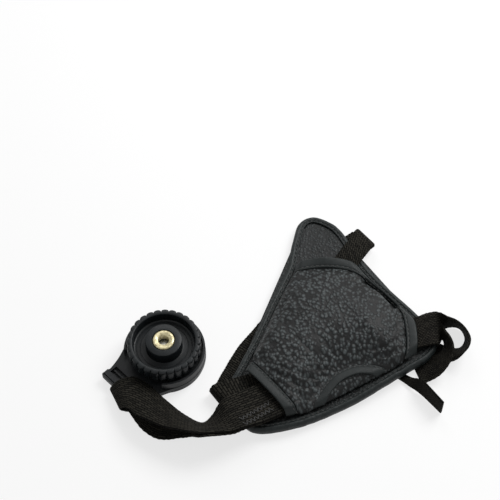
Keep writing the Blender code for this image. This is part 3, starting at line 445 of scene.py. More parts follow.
def moulded_rubber():
    """Moulded rubber: dull, with the dust and scuffs of use."""
    def build(tree):
        where = in_millimetres(tree)
        grain = add(tree, "ShaderNodeTexVoronoi", {"Vector": where, "Scale": 1.2}).outputs["Distance"]
        dust = noisy(tree, where, 0.3, 5.0)
        return {"Base Color": blended(tree, ranged(tree, dust, 0.45, 0.8), srgb("#171718"), srgb("#262626")),
                "Roughness": 0.86, "IOR": 1.52, "Normal": bumped(tree, grain, 0.5, 0.12)}
    return surface("moulded_rubber", build)


def turned_metal(name, colour, dull, shine):
    """Metal turned on a lathe: fine rings round the axis, with a duller film between them."""
    def build(tree):
        centre = (PLATE_AXIS[0] + SHIFT[0], PLATE_AXIS[1] + SHIFT[1], 0.0)
        where = add(tree, "ShaderNodeTexCoord").outputs["Object"]
        moved = add(tree, "ShaderNodeVectorMath", {0: where, 1: centre}, operation="SUBTRACT").outputs[0]
        rings = add(tree, "ShaderNodeTexWave", {"Vector": moved, "Scale": 1200.0, "Distortion": 1.5,
                                                "Detail": 2.0}, wave_type="RINGS",
                    rings_direction="Z").outputs["Fac"]
        film = noisy(tree, in_millimetres(tree), 0.7, 4.0)
        return {"Base Color": blended(tree, ranged(tree, film, 0.4, 0.7), srgb(colour), srgb(dull)),
                "Metallic": 1.0, "Roughness": ranged(tree, film, 0.3, 0.7, shine, shine + 0.2),
                "Normal": bumped(tree, rings, 0.25, 0.03)}
    return surface(name, build)


def knitted_lining():
    """Brushed warp-knit lining: a soft matt nap over small loops, with painted shade as dark lines between the
    loops.
    """
    def build(tree):
        where = in_millimetres(tree)
        # The dark Mortar is painted shade between the knit loops
        loops = add(tree, "ShaderNodeTexBrick", {"Vector": where, "Scale": 1.0, "Mortar Size": 0.18,
                                                 "Mortar Smooth": 1.0, "Brick Width": 1.3,
                                                 "Row Height": 0.65, "Color1": srgb("#1f1f20"),
                                                 "Color2": srgb("#191919"), "Mortar": srgb("#0c0c0c")})
        raised = worked(tree, "MULTIPLY_ADD", noisy(tree, where, 2.2, 4.0), -0.8, loops.outputs["Fac"])
        return {"Base Color": loops.outputs["Color"], "Roughness": 0.95, "IOR": 1.5, "Sheen Weight": 0.3,
                "Sheen Roughness": 0.5, "Normal": bumped(tree, raised, 0.8, 0.18, invert=True)}
    return surface("knitted_lining", build)


def open_foam():
    """Polyether foam: small open cells."""
    def build(tree):
        where = in_millimetres(tree)
        cells = add(tree, "ShaderNodeTexVoronoi", {"Vector": where, "Scale": 1.6}).outputs["Distance"]
        return {"Base Color": blended(tree, cells, srgb("#5b5b5a"), srgb("#3c3c3c")),
                "Roughness": 0.95, "Normal": bumped(tree, cells, 0.9, 0.3)}
    return surface("polyether_foam", build)


def bonded_thread():
    """Bonded polyester thread: black and slightly waxy, with its twist as fine slanting lines whose grooves are
    darker, as painted shade.
    """
    def build(tree):
        where = in_millimetres(tree)
        twist = add(tree, "ShaderNodeTexWave", {"Vector": where, "Scale": 1.4, "Distortion": 1.0},
                    bands_direction="DIAGONAL").outputs["Fac"]
        # Painted shade: the colour is darker in the twist's grooves, from the same wave as the bump
        return {"Base Color": blended(tree, twist, srgb("#101010"), srgb("#232322")),
                "Roughness": 0.55, "IOR": 1.5, "Normal": bumped(tree, twist, 0.5, 0.06)}
    return surface("bonded_thread", build)


def dress(made, body, nodes=()):
    """The piece moves with a body and stands for CAD nodes."""
    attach(made, body)
    if nodes:
        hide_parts(*nodes)
    return made


def piece(name, points, faces, finish, sharp=None, laid_out=None):
    """A mesh object from points on the table plan."""
    mesh = bpy.data.meshes.new(name)
    mesh.from_pydata([tuple(point) for point in np.asarray(points) + SHIFT], [], faces)
    if laid_out is not None:
        layer = mesh.uv_layers.new(name="laid_out")
        corner = np.empty(len(mesh.loops), int)
        mesh.loops.foreach_get("vertex_index", corner)
        layer.data.foreach_set("uv", np.asarray(laid_out, float)[corner].ravel())
    bm = bmesh.new()
    bm.from_mesh(mesh)
    bmesh.ops.remove_doubles(bm, verts=bm.verts, dist=1e-6)
    bmesh.ops.recalc_face_normals(bm, faces=bm.faces)
    bm.to_mesh(mesh)
    bm.free()
    mesh.polygons.foreach_set("use_smooth", [True] * len(mesh.polygons))
    if sharp:
        mesh.set_sharp_from_angle(angle=math.radians(sharp))
    mesh.materials.append(finish)
    made = bpy.data.objects.new(name, mesh)
    bpy.context.scene.collection.objects.link(made)
    return made


def skin(name, rings, finish, looped=False, sharp=None, laid_out=None):
    """A closed skin through rings of points, capped at its ends unless it is looped."""
    rings = np.asarray(rings)
    rows, ring = rings.shape[:2]
    faces = []
    for i in range(rows if looped else rows - 1):
        j = (i + 1) % rows
        for k in range(ring):
            m = (k + 1) % ring
            faces.append((i * ring + k, i * ring + m, j * ring + m, j * ring + k))
    if not looped:
        faces.append(tuple(range(ring)))
        faces.append(tuple((rows - 1) * ring + k for k in reversed(range(ring))))
    marks = None if laid_out is None else np.asarray(laid_out).reshape(-1, 2)
    return piece(name, rings.reshape(-1, 3), faces, finish, sharp, marks)


def on_plate(points):
    """From the plate's own frame, with the strap loop along +X, to the table plan."""
    points = np.asarray(points, float)
    cos, sin = math.cos(LOOP_DIRECTION), math.sin(LOOP_DIRECTION)
    x = PLATE_AXIS[0] + points[..., 0] * cos - points[..., 1] * sin
    y = PLATE_AXIS[1] + points[..., 0] * sin + points[..., 1] * cos
    return np.stack([x, y, points[..., 2]], axis=-1)


def spun(name, profile, finish, sides=144, radius_at=None, sharp=35.0):
    """A closed profile of (radius, height) turned about the plate's axis."""
    rings = []
    for i in range(sides):
        angle = 2 * math.pi * i / sides
        ring = [radius_at(angle, radius, height) if radius_at else radius for radius, height in profile]
        rings.append([(r * math.cos(angle), r * math.sin(angle), height)
                      for r, (_, height) in zip(ring, profile)])
    return skin(name, on_plate(rings), finish, looped=True, sharp=sharp)


def sheet_plan(outline, spacing):
    """An even net of triangles inside a flat outline: its points, its faces and its rim edges."""
    edge = np.concatenate([outline, outline[:1]])
    low, high = outline.min(axis=0), outline.max(axis=0)
    rows = np.arange(low[1], high[1], spacing * math.sqrt(3) / 2)
    grid = []
    for k, y in enumerate(rows):
        across = np.arange(low[0] + (k % 2) * spacing / 2, high[0], spacing)
        grid.append(np.stack([across, np.full(len(across), y)], axis=1))
    grid = np.concatenate(grid)
    grid = grid[within_loop(edge, grid)]
    grid = grid[distances(edge, grid) > 0.55 * spacing]
    count = len(outline)
    flat = [Vector(point) for point in np.concatenate([outline, grid])]
    rim = [(i, (i + 1) % count) for i in range(count)]
    found = geometry.delaunay_2d_cdt(flat, rim, [], 1, 1e-7, False)
    points = np.array([tuple(point) for point in found[0]])
    faces = [tuple(face) for face in found[2]]
    sides = {}
    for face in faces:
        for a, b in zip(face, face[1:] + face[:1]):
            sides[(a, b)] = (b, a) not in sides
            if (b, a) in sides:
                sides[(b, a)] = False
                sides[(a, b)] = False
    return points, faces, [pair for pair, open_side in sides.items() if open_side]


def evenly(outline, spacing):
    """A closed outline with points at an even distance."""
    edge = np.concatenate([outline, outline[:1]])
    run = np.concatenate([[0.0], np.cumsum(np.linalg.norm(np.diff(edge, axis=0), axis=1))])
    count = int(run[-1] / spacing)
    at = np.arange(count) * run[-1] / count
    return np.stack([np.interp(at, run, edge[:, k]) for k in (0, 1)], axis=1)


def shell(name, plan, top, bottom, finish, rounding=0.0003):
    """A closed shell between two sets of heights over a flat net, with its rim eased."""
    points, faces, rim = plan
    count = len(points)
    top, bottom = np.array(top), np.array(bottom)
    on_rim = sorted({k for pair in rim for k in pair})
    top[on_rim] -= rounding
    bottom[on_rim] += rounding / 3
    upper = np.column_stack([points, top])
    lower = np.column_stack([points, bottom])
    skins = list(faces) + [tuple(count + k for k in reversed(face)) for face in faces]
    skins += [(b, a, count + a, count + b) for a, b in rim]
    return piece(name, np.concatenate([upper, lower]), skins, finish)


def settled(points, faces, held, cap, pressure, spare):
    """Cloth: a leather sheet with some spare length swells between its sewn edges. It is simulated
    at ten times its size, which suits the solver, and no point moves further than the cap."""
    enlarged = 10.0
    mesh = bpy.data.meshes.new("trial")
    mesh.from_pydata([tuple(point) for point in points * enlarged], [], faces)
    trial = bpy.data.objects.new("trial", mesh)
    bpy.context.scene.collection.objects.link(trial)
    trial.vertex_groups.new(name="sewn").add([int(k) for k in held], 1.0, "REPLACE")
    cloth = trial.modifiers.new("cloth", "CLOTH")
    cloth.settings.quality = 5
    cloth.settings.mass = 0.2
    cloth.settings.tension_stiffness = 20.0
    cloth.settings.compression_stiffness = 20.0
    cloth.settings.bending_stiffness = 0.6
    cloth.settings.vertex_group_mass = "sewn"
    cloth.settings.shrink_min = -spare
    cloth.settings.use_pressure = True
    cloth.settings.uniform_pressure_force = pressure
    cloth.settings.effector_weights.gravity = 0.0
    cloth.point_cache.frame_start = 1
    cloth.point_cache.frame_end = CLOTH_FRAMES
    scene = bpy.context.scene
    for frame_number in range(1, CLOTH_FRAMES + 1):
        scene.frame_set(frame_number)
    shape = trial.evaluated_get(bpy.context.evaluated_depsgraph_get())
    found = np.array([tuple(vertex.co) for vertex in shape.data.vertices]) / enlarged
    scene.frame_set(1)
    bpy.data.objects.remove(trial, do_unlink=True)
    move = found - points
    length = np.linalg.norm(move, axis=1)[:, None]
    return points + move * (cap * np.tanh(length / cap) / np.maximum(length, 1e-9))


def relief(flat, spots, size, height, seed):
    """Soft uneven heights over a plan: noise of a size and a height."""
    return np.array([height * noise.noise(Vector((x / size + seed, y / size, seed * 0.37)))
                     for x, y in flat]) * spots


def crease_depth(flat):
    """How deep the listed creases lie at each point, with a low ridge on both sides."""
    depth = np.zeros(len(flat))
    for start, end, deep, wide in CREASES:
        middle = ((start[0] + end[0]) / 2 + 0.4, (start[1] + end[1]) / 2 - 0.5)
        line = smooth_path([start, middle, end], 3) * MM
        share = distances(line, flat) / (wide * MM)
        depth += deep * MM * (np.exp(-share ** 2) - 0.45 * np.exp(-(share - 1.9) ** 2))
    return depth


def build_panel(pad, grain):
    plan = sheet_plan(evenly(pad.panel_outline(), 1.0 * MM), 1.05 * MM)
    flat, faces, _ = plan
    base = pad.panel_bottom(flat)
    borders = [pad.lip, *pad.mouths.values()]
    edge_room = np.minimum.reduce([distances(path, flat) for path in borders])
    free = eased(edge_room / (5 * MM))
    top = base + PANEL_THICKNESS
    held = [k for k in range(len(flat)) if edge_room[k] < 0.0016]
    points = settled(np.column_stack([flat, top]), faces, held, PANEL_SWELL, PANEL_PRESSURE, PANEL_SPARE)
    top = points[:, 2]
    top = top - crease_depth(flat) * free + relief(flat, free, 0.009, 0.0005, 3.1)
    panel = shell("palm_panel_leather", plan, np.maximum(top, base + 0.0005), base, grain)
    dress(panel, "strap", ["palm_panel"])


def build_layers(pad, face_grain, lining, foam):
    inner = pad.outline - pad.normals * LAYER_INSET
    plan = sheet_plan(evenly(inner, 1.4 * MM), 1.5 * MM)
    flat = plan[0]
    room = distances(np.concatenate([inner, inner[:1]]), flat)
    free = eased(room / (6 * MM))
    bottom = pad.face_bottom(flat)
    top = bottom + FACE_THICKNESS - 0.00015 + relief(flat, free, 0.007, 0.00025, 7.7)
    made = shell("pad_face_leather", plan, top, bottom, face_grain, 0.0002)
    dress(made, "strap", ["pad_face"])
    bottom = pad.foam_bottom(flat)
    made = shell("pad_foam", plan, bottom + FOAM_THICKNESS, bottom, foam)
    dress(made, "strap", ["foam_core"])
    bottom = pad.lining_bottom(flat)
    under = bottom + relief(flat, free, 0.008, 0.0002, 1.9)
    made = shell("pad_lining", plan, bottom + LINING_THICKNESS, under, lining, 0.0001)
    dress(made, "strap", ["back_lining"])


def build_binding(pad, leather):
    """A strip of leather rolled over the pad's edge, sewn down through a groove beside its lip."""
    outline = evenly(smooth_path(np.array(PAD_OUTLINE) * MM, 12, closed=True), 1.0 * MM)
    normals = outward(outline)
    outer = [(3.9, 0.05), (3.3, 0.0), (2.9, 0.25), (2.5, 0.0), (1.7, 0.0), (1.05, 0.2), (0.5, 0.75),
             (0.15, 1.6), (0.0, 2.8), (0.12, 4.0), (0.45, 4.85), (1.0, 5.45), (1.65, 5.72), (2.2, 5.66),
             (2.6, 5.42), (2.85, 5.14), (3.05, 5.12), (3.25, 5.36), (3.55, 5.5), (3.82, 5.4), (3.9, 5.2)]
    inner = [(3.86, 4.95), (2.9, 4.8), (1.8, 4.85), (1.1, 4.3), (0.8, 2.8), (1.1, 1.3), (1.8, 0.75),
             (3.86, 0.7)]
    section = np.array(outer + inner) * MM
    last = len(outer) - 1
    rings = []
    lift = pad.lift(outline)
    for k, ((x, y), (nx, ny)) in enumerate(zip(outline, normals)):
        wave = noise.noise(Vector((x / 0.004, y / 0.004, 5.0)))
        ring = []
        for i, (s, z) in enumerate(section):
            swell = 0.00022 * wave * math.sin(math.pi * min(i / last, 1.0)) if i <= last else 0.0
            rise = z + (swell if z > 0.004 else 0.0)
            ring.append((x - nx * (s + swell), y - ny * (s + swell), lift[k] + rise))
        rings.append(ring)
    made = skin("rolled_binding", rings, leather, looped=True)
    dress(made, "strap", ["edge_binding"])


def trim_rows(pad, seam, side, across):
    """Rows of (x, y) across a trim, from its seam to its free edge or the binding's lip."""
    normals = outward(seam, closed=False) * side
    shares = np.linspace(1.0, 0.0, 53)
    widths = []
    for (x, y), (nx, ny) in zip(seam, normals):
        runs = np.concatenate([[GAP], TRIM_WIDTH * shares])
        spots = np.array([x, y]) + np.array([nx, ny]) * runs[:, None]
        clear = within_loop(pad.lip, spots) & (distances(pad.lip, spots) > LIP_CLEARANCE)
        room = runs[1:][clear[1:]][0] if clear[0] and clear[1:].any() else 0.0
        widths.append(room + TRIM_SPREAD if clear[1:].all() else room)
    wide_enough = [k for k, wide in enumerate(widths) if wide >= TRIM_LEAST]
    rows = []
    for k in range(wide_enough[0], wide_enough[-1] + 1):
        wide = max(widths[k], TUCKED_WIDTH)
        rows.append([seam[k] + normals[k] * (GAP + (wide - GAP) * share) for share in across])
    return np.array(rows)


def build_trim(name, node, seam, pad, leather):
    """A folded leather strip sewn along a mouth: rounded edges and a groove for its stitches."""
    fine = smooth_path(seam, 4)
    across = np.array([0.0, 0.04, 0.10, 0.18, 0.22, 0.26, 0.36, 0.55, 0.74, 0.82, 0.89, 0.97, 1.0])
    heights = np.array([0.40, 0.80, 0.94, 0.92, 0.66, 0.92, 1.00, 1.02, 1.02, 0.98, 0.96, 0.84, 0.50]) * MM
    rows = trim_rows(pad, fine, -1.0, across)
    rings = []
    for row in rows:
        base = pad.panel_bottom(row)
        upper = [(x, y, z + h) for (x, y), z, h in zip(row, base, heights)]
        lower = [(x, y, z) for (x, y), z in zip(row, base)]
        rings.append(upper + lower[::-1])
    made = skin(name, rings, leather)
    dress(made, "strap", [node])
    return [(ring[4][0], ring[4][1], ring[4][2] + 0.00012) for ring in rings]


def ribbon(name, node, stations, width, finish, steps=14):
    """Webbing along stations of (centre, direction across, share of its width that lies open)."""
    centres = smooth_path([station[0] for station in stations], steps)
    across = smooth_path([Vector(station[1]).normalized() for station in stations], steps)
    shares = smooth_path([[station[2] if len(station) > 2 else 1.0] for station in stations], steps)
    along = np.gradient(centres, axis=0)
    along /= np.linalg.norm(along, axis=1)[:, None]
    across /= np.linalg.norm(across, axis=1)[:, None]
    slant = np.linalg.norm(np.cross(along, across), axis=1).clip(LEAST_SLANT, 1.0)[:, None]
    open_flat = ((shares - GATHERED) / (1.0 - GATHERED)).clip(0.0, 1.0)
    half = width / 2 * across * shares / slant ** open_flat
    thick = np.cross(along, across)
    thick *= WEBBING_THICKNESS / 2 / np.linalg.norm(thick, axis=1)[:, None]
    run = np.concatenate([[0.0], np.cumsum(np.linalg.norm(np.diff(centres, axis=0), axis=1))])
    upper = [(-0.985, 0.55), (-0.94, 0.92), (-0.8, 1.0), (-0.6, 1.0), (-0.4, 1.0), (-0.2, 1.0), (0.0, 1.0),
             (0.2, 1.0), (0.4, 1.0), (0.6, 1.0), (0.8, 1.0), (0.94, 0.92), (0.985, 0.55)]
    section = [(-1.0, 0.0)] + upper + [(1.0, 0.0)] + [(s, -t) for s, t in upper[::-1]]
    rings, marks = [], []
    for centre, side, rise, length in zip(centres, half, thick, run):
        wander = noise.noise(Vector((length / 0.006, 1.7, 0.0)))
        frill = 0.012 * math.sin(2 * math.pi * length / 0.0021) + 0.02 * wander
        ring, mark = [], []
        for s, t in section:
            reach = s * (1.0 + (frill if abs(s) > 0.9 else 0.0))
            ring.append(centre + side * reach + rise * t)
            mark.append((s * width / 2, length))
        rings.append(ring)
        marks.append(mark)
    made = skin(name, rings, finish, laid_out=marks)
    return dress(made, "strap", [node])


def beneath(stations, distance):
    """The same run of webbing, laid under the first at a distance."""
    centres = np.array([station[0] for station in stations])
    along = np.gradient(centres, axis=0)
    shifted = []
    for station, ahead in zip(stations, along):
        down = np.cross(station[1], ahead)
        down *= -np.sign(down[2]) * distance / np.linalg.norm(down)
        shifted.append((tuple(station[0] + down), *station[1:]))
    return shifted


def build_straps(pad, webs):
    half = WEBBING_THICKNESS / 2
    layer = WEBBING_THICKNESS + GAP
    table = GAP + half

    def over(x, y, layers=0):
        """Centre height of webbing that lies over the binding."""
        return float(pad.binding_top(as_flat(x * MM, y * MM))[0]) + GAP + half + layers * layer

    def within(x, y, layers=0):
        """Centre height of webbing that lies on the pad's face, under the panel."""
        return float(pad.face_top(as_flat(x * MM, y * MM))[0]) + GAP + half + layers * layer

    def point(x, y, z):
        return (x * MM, y * MM, z)

    tab = [
        (point(-0.6, 8.6, table), (0.80, -0.60, 0)), (point(-10.0, -4.0, table), (0.80, -0.60, 0)),
        (point(-17.4, -14.0, table), (0.81, -0.58, 0)), (point(-23.2, -25.0, table), (0.80, -0.60, 0)),
        (point(-28.8, -36.2, table), (0.66, -0.75, 0)),
        (point(-31.6, -40.6, table + 0.0008), (0.60, -0.80, 0)),
        (point(-33.0, -41.6, 0.0043), (0.60, -0.80, 0)),
        (point(-31.4, -41.0, over(-31, -41) - 0.0006), (0.60, -0.80, 0)),
        (point(-27.5, -39.8, over(-27, -40)), (0.50, -0.86, 0)),
        (point(-18.0, -36.6, over(-18, -37)), (0.32, -0.95, 0)),
        (point(-10.0, -34.0, within(-10, -34)), (0.30, -0.95, 0)),
        (point(-2.0, -31.4, within(-2, -31)), (0.30, -0.95, 0)),
    ]
    ribbon("side_tab_webbing", "side_tab", tab, WIDE_WEBBING, webs["cross"])

    axis_x, axis_y = PLATE_AXIS
    out_x, out_y = math.cos(LOOP_DIRECTION), math.sin(LOOP_DIRECTION)
    bar = (-out_y, out_x, 0.0)
    shift = SLOT_HALF_WIDTH - BUNCHED * WIDE_WEBBING / 2 - GAP

    def at_bar(reach, z):
        return (axis_x + out_x * reach + bar[0] * shift, axis_y + out_y * reach + bar[1] * shift, z)

    slot_middle = LOOP_REACH - BAR_DEPTH - 0.5 * SLOT_DEPTH
    under = RUBBER_THICKNESS - half
    over_bar = RUBBER_THICKNESS + GAP + PLATE_THICKNESS + GAP + half
    upper = [
        (point(-2.6, -37.4, within(-3, -37, 2.3)), (0.58, -0.81, 0)),
        (point(-9.5, -42.0, within(-9, -42, 2.65)), (0.58, -0.81, 0)),
        (point(-17.0, -46.0, over(-17, -46, 2.7)), (0.57, -0.82, 0)),
        (point(-26.6, -50.6, 0.0136), (0.46, -0.86, 0.16)),
        (point(-30.8, -53.0, 0.0127), (0.38, -0.84, 0.32)),
        (point(-35.0, -55.2, 0.0116), (0.24, -0.76, 0.56), 0.92),
        (point(-42.0, -57.6, 0.0114), (0.04, -0.66, 0.75), 0.86),
        (point(-51.0, -54.6, 0.0112), (0.0, -0.76, 0.64), 0.9),
        (point(-61.0, -48.8, 0.0104), (0.0, -0.92, 0.40), 0.95),
        (point(-69.0, -43.0, 0.0100), (0.0, -0.95, 0.30)),
        (point(-76.2, -38.9, 0.0095), (0.08, -0.98, 0.14)),
        (point(-81.6, -37.8, 0.0086), (0.26, -0.96, 0.03), 0.80),
        (point(-85.2, -38.6, 0.0050), (0.42, -0.91, 0), 0.66),
        (point(-83.5, -38.4, 0.0014), (0.57, -0.82, 0), 0.66),
    ]
    wrap = [
        (at_bar(LOOP_REACH + 0.0010, under), bar, BUNCHED),
        (at_bar(LOOP_REACH - BAR_DEPTH / 2, under), bar, BUNCHED),
        (at_bar(LOOP_REACH - BAR_DEPTH - 0.0004, under + 0.0001), bar, BUNCHED),
        (at_bar(slot_middle, under + 0.0013), bar, BUNCHED),
        (at_bar(slot_middle, over_bar - 0.0012), bar, BUNCHED),
        (at_bar(LOOP_REACH - BAR_DEPTH - 0.0003, over_bar), bar, BUNCHED),
        (at_bar(LOOP_REACH - BAR_DEPTH / 3, over_bar + 0.0001), bar, BUNCHED),
    ]
    lower_edges = [
        (point(-84.6, -36.8, 0.0061), point(-73.0, -43.4, 0.0061)),
        (point(-81.4, -43.0, 0.0060), point(-71.2, -43.2, 0.0062)),
        (point(-78.0, -46.6, 0.0050), point(-69.4, -42.4, 0.0062)),
        (point(-75.0, -50.4, 0.0030), point(-67.4, -42.0, 0.0060)),
        (point(-71.6, -54.0, 0.0016), point(-65.0, -42.0, 0.0056)),
        (point(-65.0, -58.2, 0.0010), point(-61.6, -42.6, 0.0052)),
        (point(-58.6, -58.9, 0.0010), point(-57.4, -44.0, 0.0043)),
        (point(-52.4, -58.5, 0.0020), point(-52.8, -46.4, 0.0034)),
        (point(-47.0, -60.4, 0.0078), point(-47.8, -49.0, 0.0026)),
    ]
    lower = []
    for near, far in lower_edges:
        near, far = Vector(near), Vector(far)
        lower.append((tuple((near + far) / 2), tuple(far - near), (far - near).length / WIDE_WEBBING))
    for centre, across, *share in beneath(upper[:7], 1.1 * layer)[::-1]:
        lower.append((centre, tuple(-value for value in across), *share))
    long_strap = ribbon("plate_webbing", "plate_strap", upper + wrap + lower, WIDE_WEBBING, webs["long"])

    top = [
        (point(21.0, 24.0, within(21, 24)), (0.80, -0.60, 0)),
        (point(27.0, 32.6, within(27, 33)), (0.80, -0.60, 0)),
        (point(33.2, 42.0, over(33, 42)), (0.80, -0.60, 0)),
        (point(38.9, 49.8, over(38, 47)), (0.77, -0.64, 0)),
        (point(41.9, 55.2, 0.0074), (0.66, -0.75, 0)), (point(43.0, 56.8, 0.0042), (0.64, -0.77, 0)),
        (point(41.2, 57.0, table + 0.0006), (0.58, -0.81, 0)), (point(36.8, 55.6, table), (0.54, -0.84, 0)),
        (point(31.0, 48.6, table), (0.68, -0.73, 0)), (point(26.0, 41.0, table), (0.78, -0.62, 0)),
        (point(21.0, 33.0, table), (0.80, -0.60, 0)),
    ]
    ribbon("top_webbing", "top_strap", top, NARROW_WEBBING, webs["slanting"])

    outer = [
        (point(52.0, -2.5, within(52, -2)), (0.03, -1.0, 0)),
        (point(60.0, -2.6, within(60, -2)), (0.03, -1.0, 0)),
        (point(67.4, -0.8, over(67, -1, 0.3)), (0.05, -1.0, 0)), (point(71.6, 0.6, 0.0102), (0.05, -1.0, 0)),
        (point(74.4, 1.3, 0.0097), (0.05, -0.98, -0.14)), (point(76.8, 1.8, 0.0078), (0.03, -0.78, -0.62)),
        (point(80.6, 3.3, 0.0070), (0.0, -0.04, -1.0)),
        (point(85.0, 2.9, 0.0069), (0.0, 0.24, -0.97)), (point(88.4, 0.9, 0.0068), (0.02, 0.40, -0.91)),
        (point(90.5, -2.4, 0.0067), (0.01, 0.47, -0.88)), (point(91.2, -6.0, 0.0067), (0.0, 0.49, -0.87)),
        (point(90.2, -9.4, 0.0066), (0.0, 0.54, -0.84)), (point(88.2, -11.8, 0.0062), (0.0, 0.58, -0.81)),
        (point(85.4, -13.0, 0.0048), (0.0, 0.74, -0.67)),
        (point(82.4, -12.8, 0.0030), (0.06, 0.92, -0.36), 0.88),
        (point(79.4, -11.8, 0.0014), (0.14, 0.98, -0.06), 0.82),
        (point(75.8, -10.4, table + 0.0001), (0.22, 0.97, 0), 0.85),
        (point(70.0, -8.4, table + 0.0001), (0.28, 0.95, 0), 0.9),
        (point(62.0, -5.0, table), (0.30, 0.95, 0)),
    ]
    ribbon("outer_loop_webbing", "outer_loop_strap", outer, NARROW_WEBBING, webs["grainy"])

    inner = [
        (point(52.0, -8.4, within(52, -8, 1)), (0.03, -1.0, 0)),
        (point(60.0, -7.8, within(60, -8, 1)), (0.03, -1.0, 0)),
        (point(67.4, -6.6, over(67, -7, 1.3)), (0.05, -1.0, 0)),
        (point(72.0, -5.6, 0.0117), (0.05, -1.0, -0.02)),
        (point(74.8, -5.0, 0.0114), (0.04, -0.98, -0.18)),
        (point(76.9, -4.6, 0.0101), (0.0, -0.60, -0.80), 0.9),
        (point(78.8, -4.9, 0.0089), (0.0, 0.06, -1.0), 0.9),
        (point(80.4, -7.4, 0.0086), (-0.10, 0.26, -0.96), 0.95),
        (point(80.8, -11.2, 0.0084), (-0.26, 0.34, -0.90), 0.95),
        (point(79.4, -15.0, 0.0078), (-0.46, 0.46, -0.76), 0.95),
        (point(77.0, -17.8, 0.0066), (-0.56, 0.60, -0.57), 0.95),
        (point(73.2, -20.4, 0.0040), (-0.42, 0.84, -0.32)),
        (point(68.4, -21.2, 0.0015), (-0.24, 0.97, -0.03)), (point(63.6, -19.4, table), (-0.34, 0.94, 0)),
    ]
    ribbon("inner_loop_webbing", "inner_loop_strap", inner, NARROW_WEBBING, webs["grainy"])

    tail = [
        (point(45.0, -14.0, table), (0.66, 0.75, 0), 0.6), (point(51.0, -19.4, table), (0.66, 0.75, 0), 0.5),
        (point(57.0, -24.2, table), (0.66, 0.75, 0), 0.4),
        (point(61.2, -27.6, 0.0018), (0.60, 0.68, 0.26), 0.44),
        (point(64.2, -30.6, 0.0046), (0.34, 0.36, 0.86), 0.66),
        (point(67.4, -34.2, 0.0058), (0.10, 0.12, 1.0), 0.95), (point(75.2, -44.2, 0.0062), (0.0, 0.05, 1.0)),
    ]
    ribbon("tail_webbing", "strap_tail", tail, NARROW_WEBBING * 0.85, webs["grainy"])
    return long_strap


def stitch_tree(thread):
    """Geometry nodes: stitches of thread laid end to end along every edge path of a mesh."""
    tree = bpy.data.node_groups.new("stitches", "GeometryNodeTree")
    face = tree.interface
    face.new_socket("Path", in_out="INPUT", socket_type="NodeSocketGeometry")
    for name, value in (("Pitch", STITCH_PITCH), ("Stitch length", STITCH_LENGTH),
                        ("Thread radius", THREAD_THICKNESS)):
        face.new_socket(name, in_out="INPUT", socket_type="NodeSocketFloat").default_value = value
    face.new_socket("Stitches", in_out="OUTPUT", socket_type="NodeSocketGeometry")
    given = add(tree, "NodeGroupInput").outputs
    curve = add(tree, "GeometryNodeMeshToCurve", {"Mesh": given["Path"]}).outputs[0]
    spaced = add(tree, "GeometryNodeResampleCurve", {"Curve": curve, "Length": given["Pitch"]},
                 mode="LENGTH").outputs[0]
    turn = add(tree, "FunctionNodeAlignRotationToVector",
               {"Vector": add(tree, "GeometryNodeInputTangent").outputs[0]}, axis="X").outputs[0]
    bead = add(tree, "GeometryNodeMeshUVSphere", {"Segments": 8, "Rings": 5, "Radius": 0.5}).outputs[0]
    thick = add(tree, "ShaderNodeMath", {0: given["Thread radius"], 1: 2.0}, operation="MULTIPLY").outputs[0]
    size = add(tree, "ShaderNodeCombineXYZ", {"X": given["Stitch length"], "Y": thick, "Z": thick}).outputs[0]
    laid = add(tree, "GeometryNodeInstanceOnPoints", {"Points": spaced, "Instance": bead, "Rotation": turn,
                                                      "Scale": size}).outputs[0]
    real = add(tree, "GeometryNodeRealizeInstances", {"Geometry": laid}).outputs[0]
    done = add(tree, "GeometryNodeSetMaterial", {"Geometry": real, "Material": thread}).outputs[0]
    add(tree, "NodeGroupOutput", {"Stitches": done})
    return tree


def sew(name, paths, tree, body, sizes=None):
    """Stitches along given paths of points, as one plain mesh."""
    points, edges = [], []
    for path in paths:
        start = len(points)
        points += [tuple(np.array(point) + SHIFT) for point in path]
        edges += [(start + k, start + k + 1) for k in range(len(path) - 1)]
    mesh = bpy.data.meshes.new(name + "_path")
    mesh.from_pydata(points, edges, [])
    guide = bpy.data.objects.new(name + "_path", mesh)
    bpy.context.scene.collection.objects.link(guide)
    step = guide.modifiers.new("stitches", "NODES")
    step.node_group = tree
    sockets = {item.name: item.identifier for item in tree.interface.items_tree if item.in_out == "INPUT"}
    for key, value in (sizes or {}).items():
        step[sockets[key]] = value
    bpy.context.view_layer.update()
    shape = guide.evaluated_get(bpy.context.evaluated_depsgraph_get())
    made = bpy.data.objects.new(name, bpy.data.meshes.new_from_object(shape))
    bpy.data.objects.remove(guide, do_unlink=True)
    bpy.context.scene.collection.objects.link(made)
    made.data.polygons.foreach_set("use_smooth", [True] * len(made.data.polygons))
    return dress(made, body)


def zigzag(made, start, end, half_width, period):
    """A zigzag path on top of a finished piece, between two places on the table plan."""
    start, end = np.array(start) * MM, np.array(end) * MM
    along = (end - start) / np.linalg.norm(end - start)
    aside = np.array([-along[1], along[0]])
    count = int(2 * np.linalg.norm(end - start) / period)
    path = []
    for k in range(4 * count + 1):
        wave = 2 * abs(2 * ((k / 8) % 1.0) - 1.0) - 1.0
        x, y = start + (end - start) * k / (4 * count) + aside * half_width * wave
        above = Vector((x + SHIFT[0], y + SHIFT[1], 0.05))
        met, spot, _, _ = made.ray_cast(above, Vector((0, 0, -1)))
        if met:
            path.append((x, y, spot.z - SHIFT[2] + 0.00012))
    return path


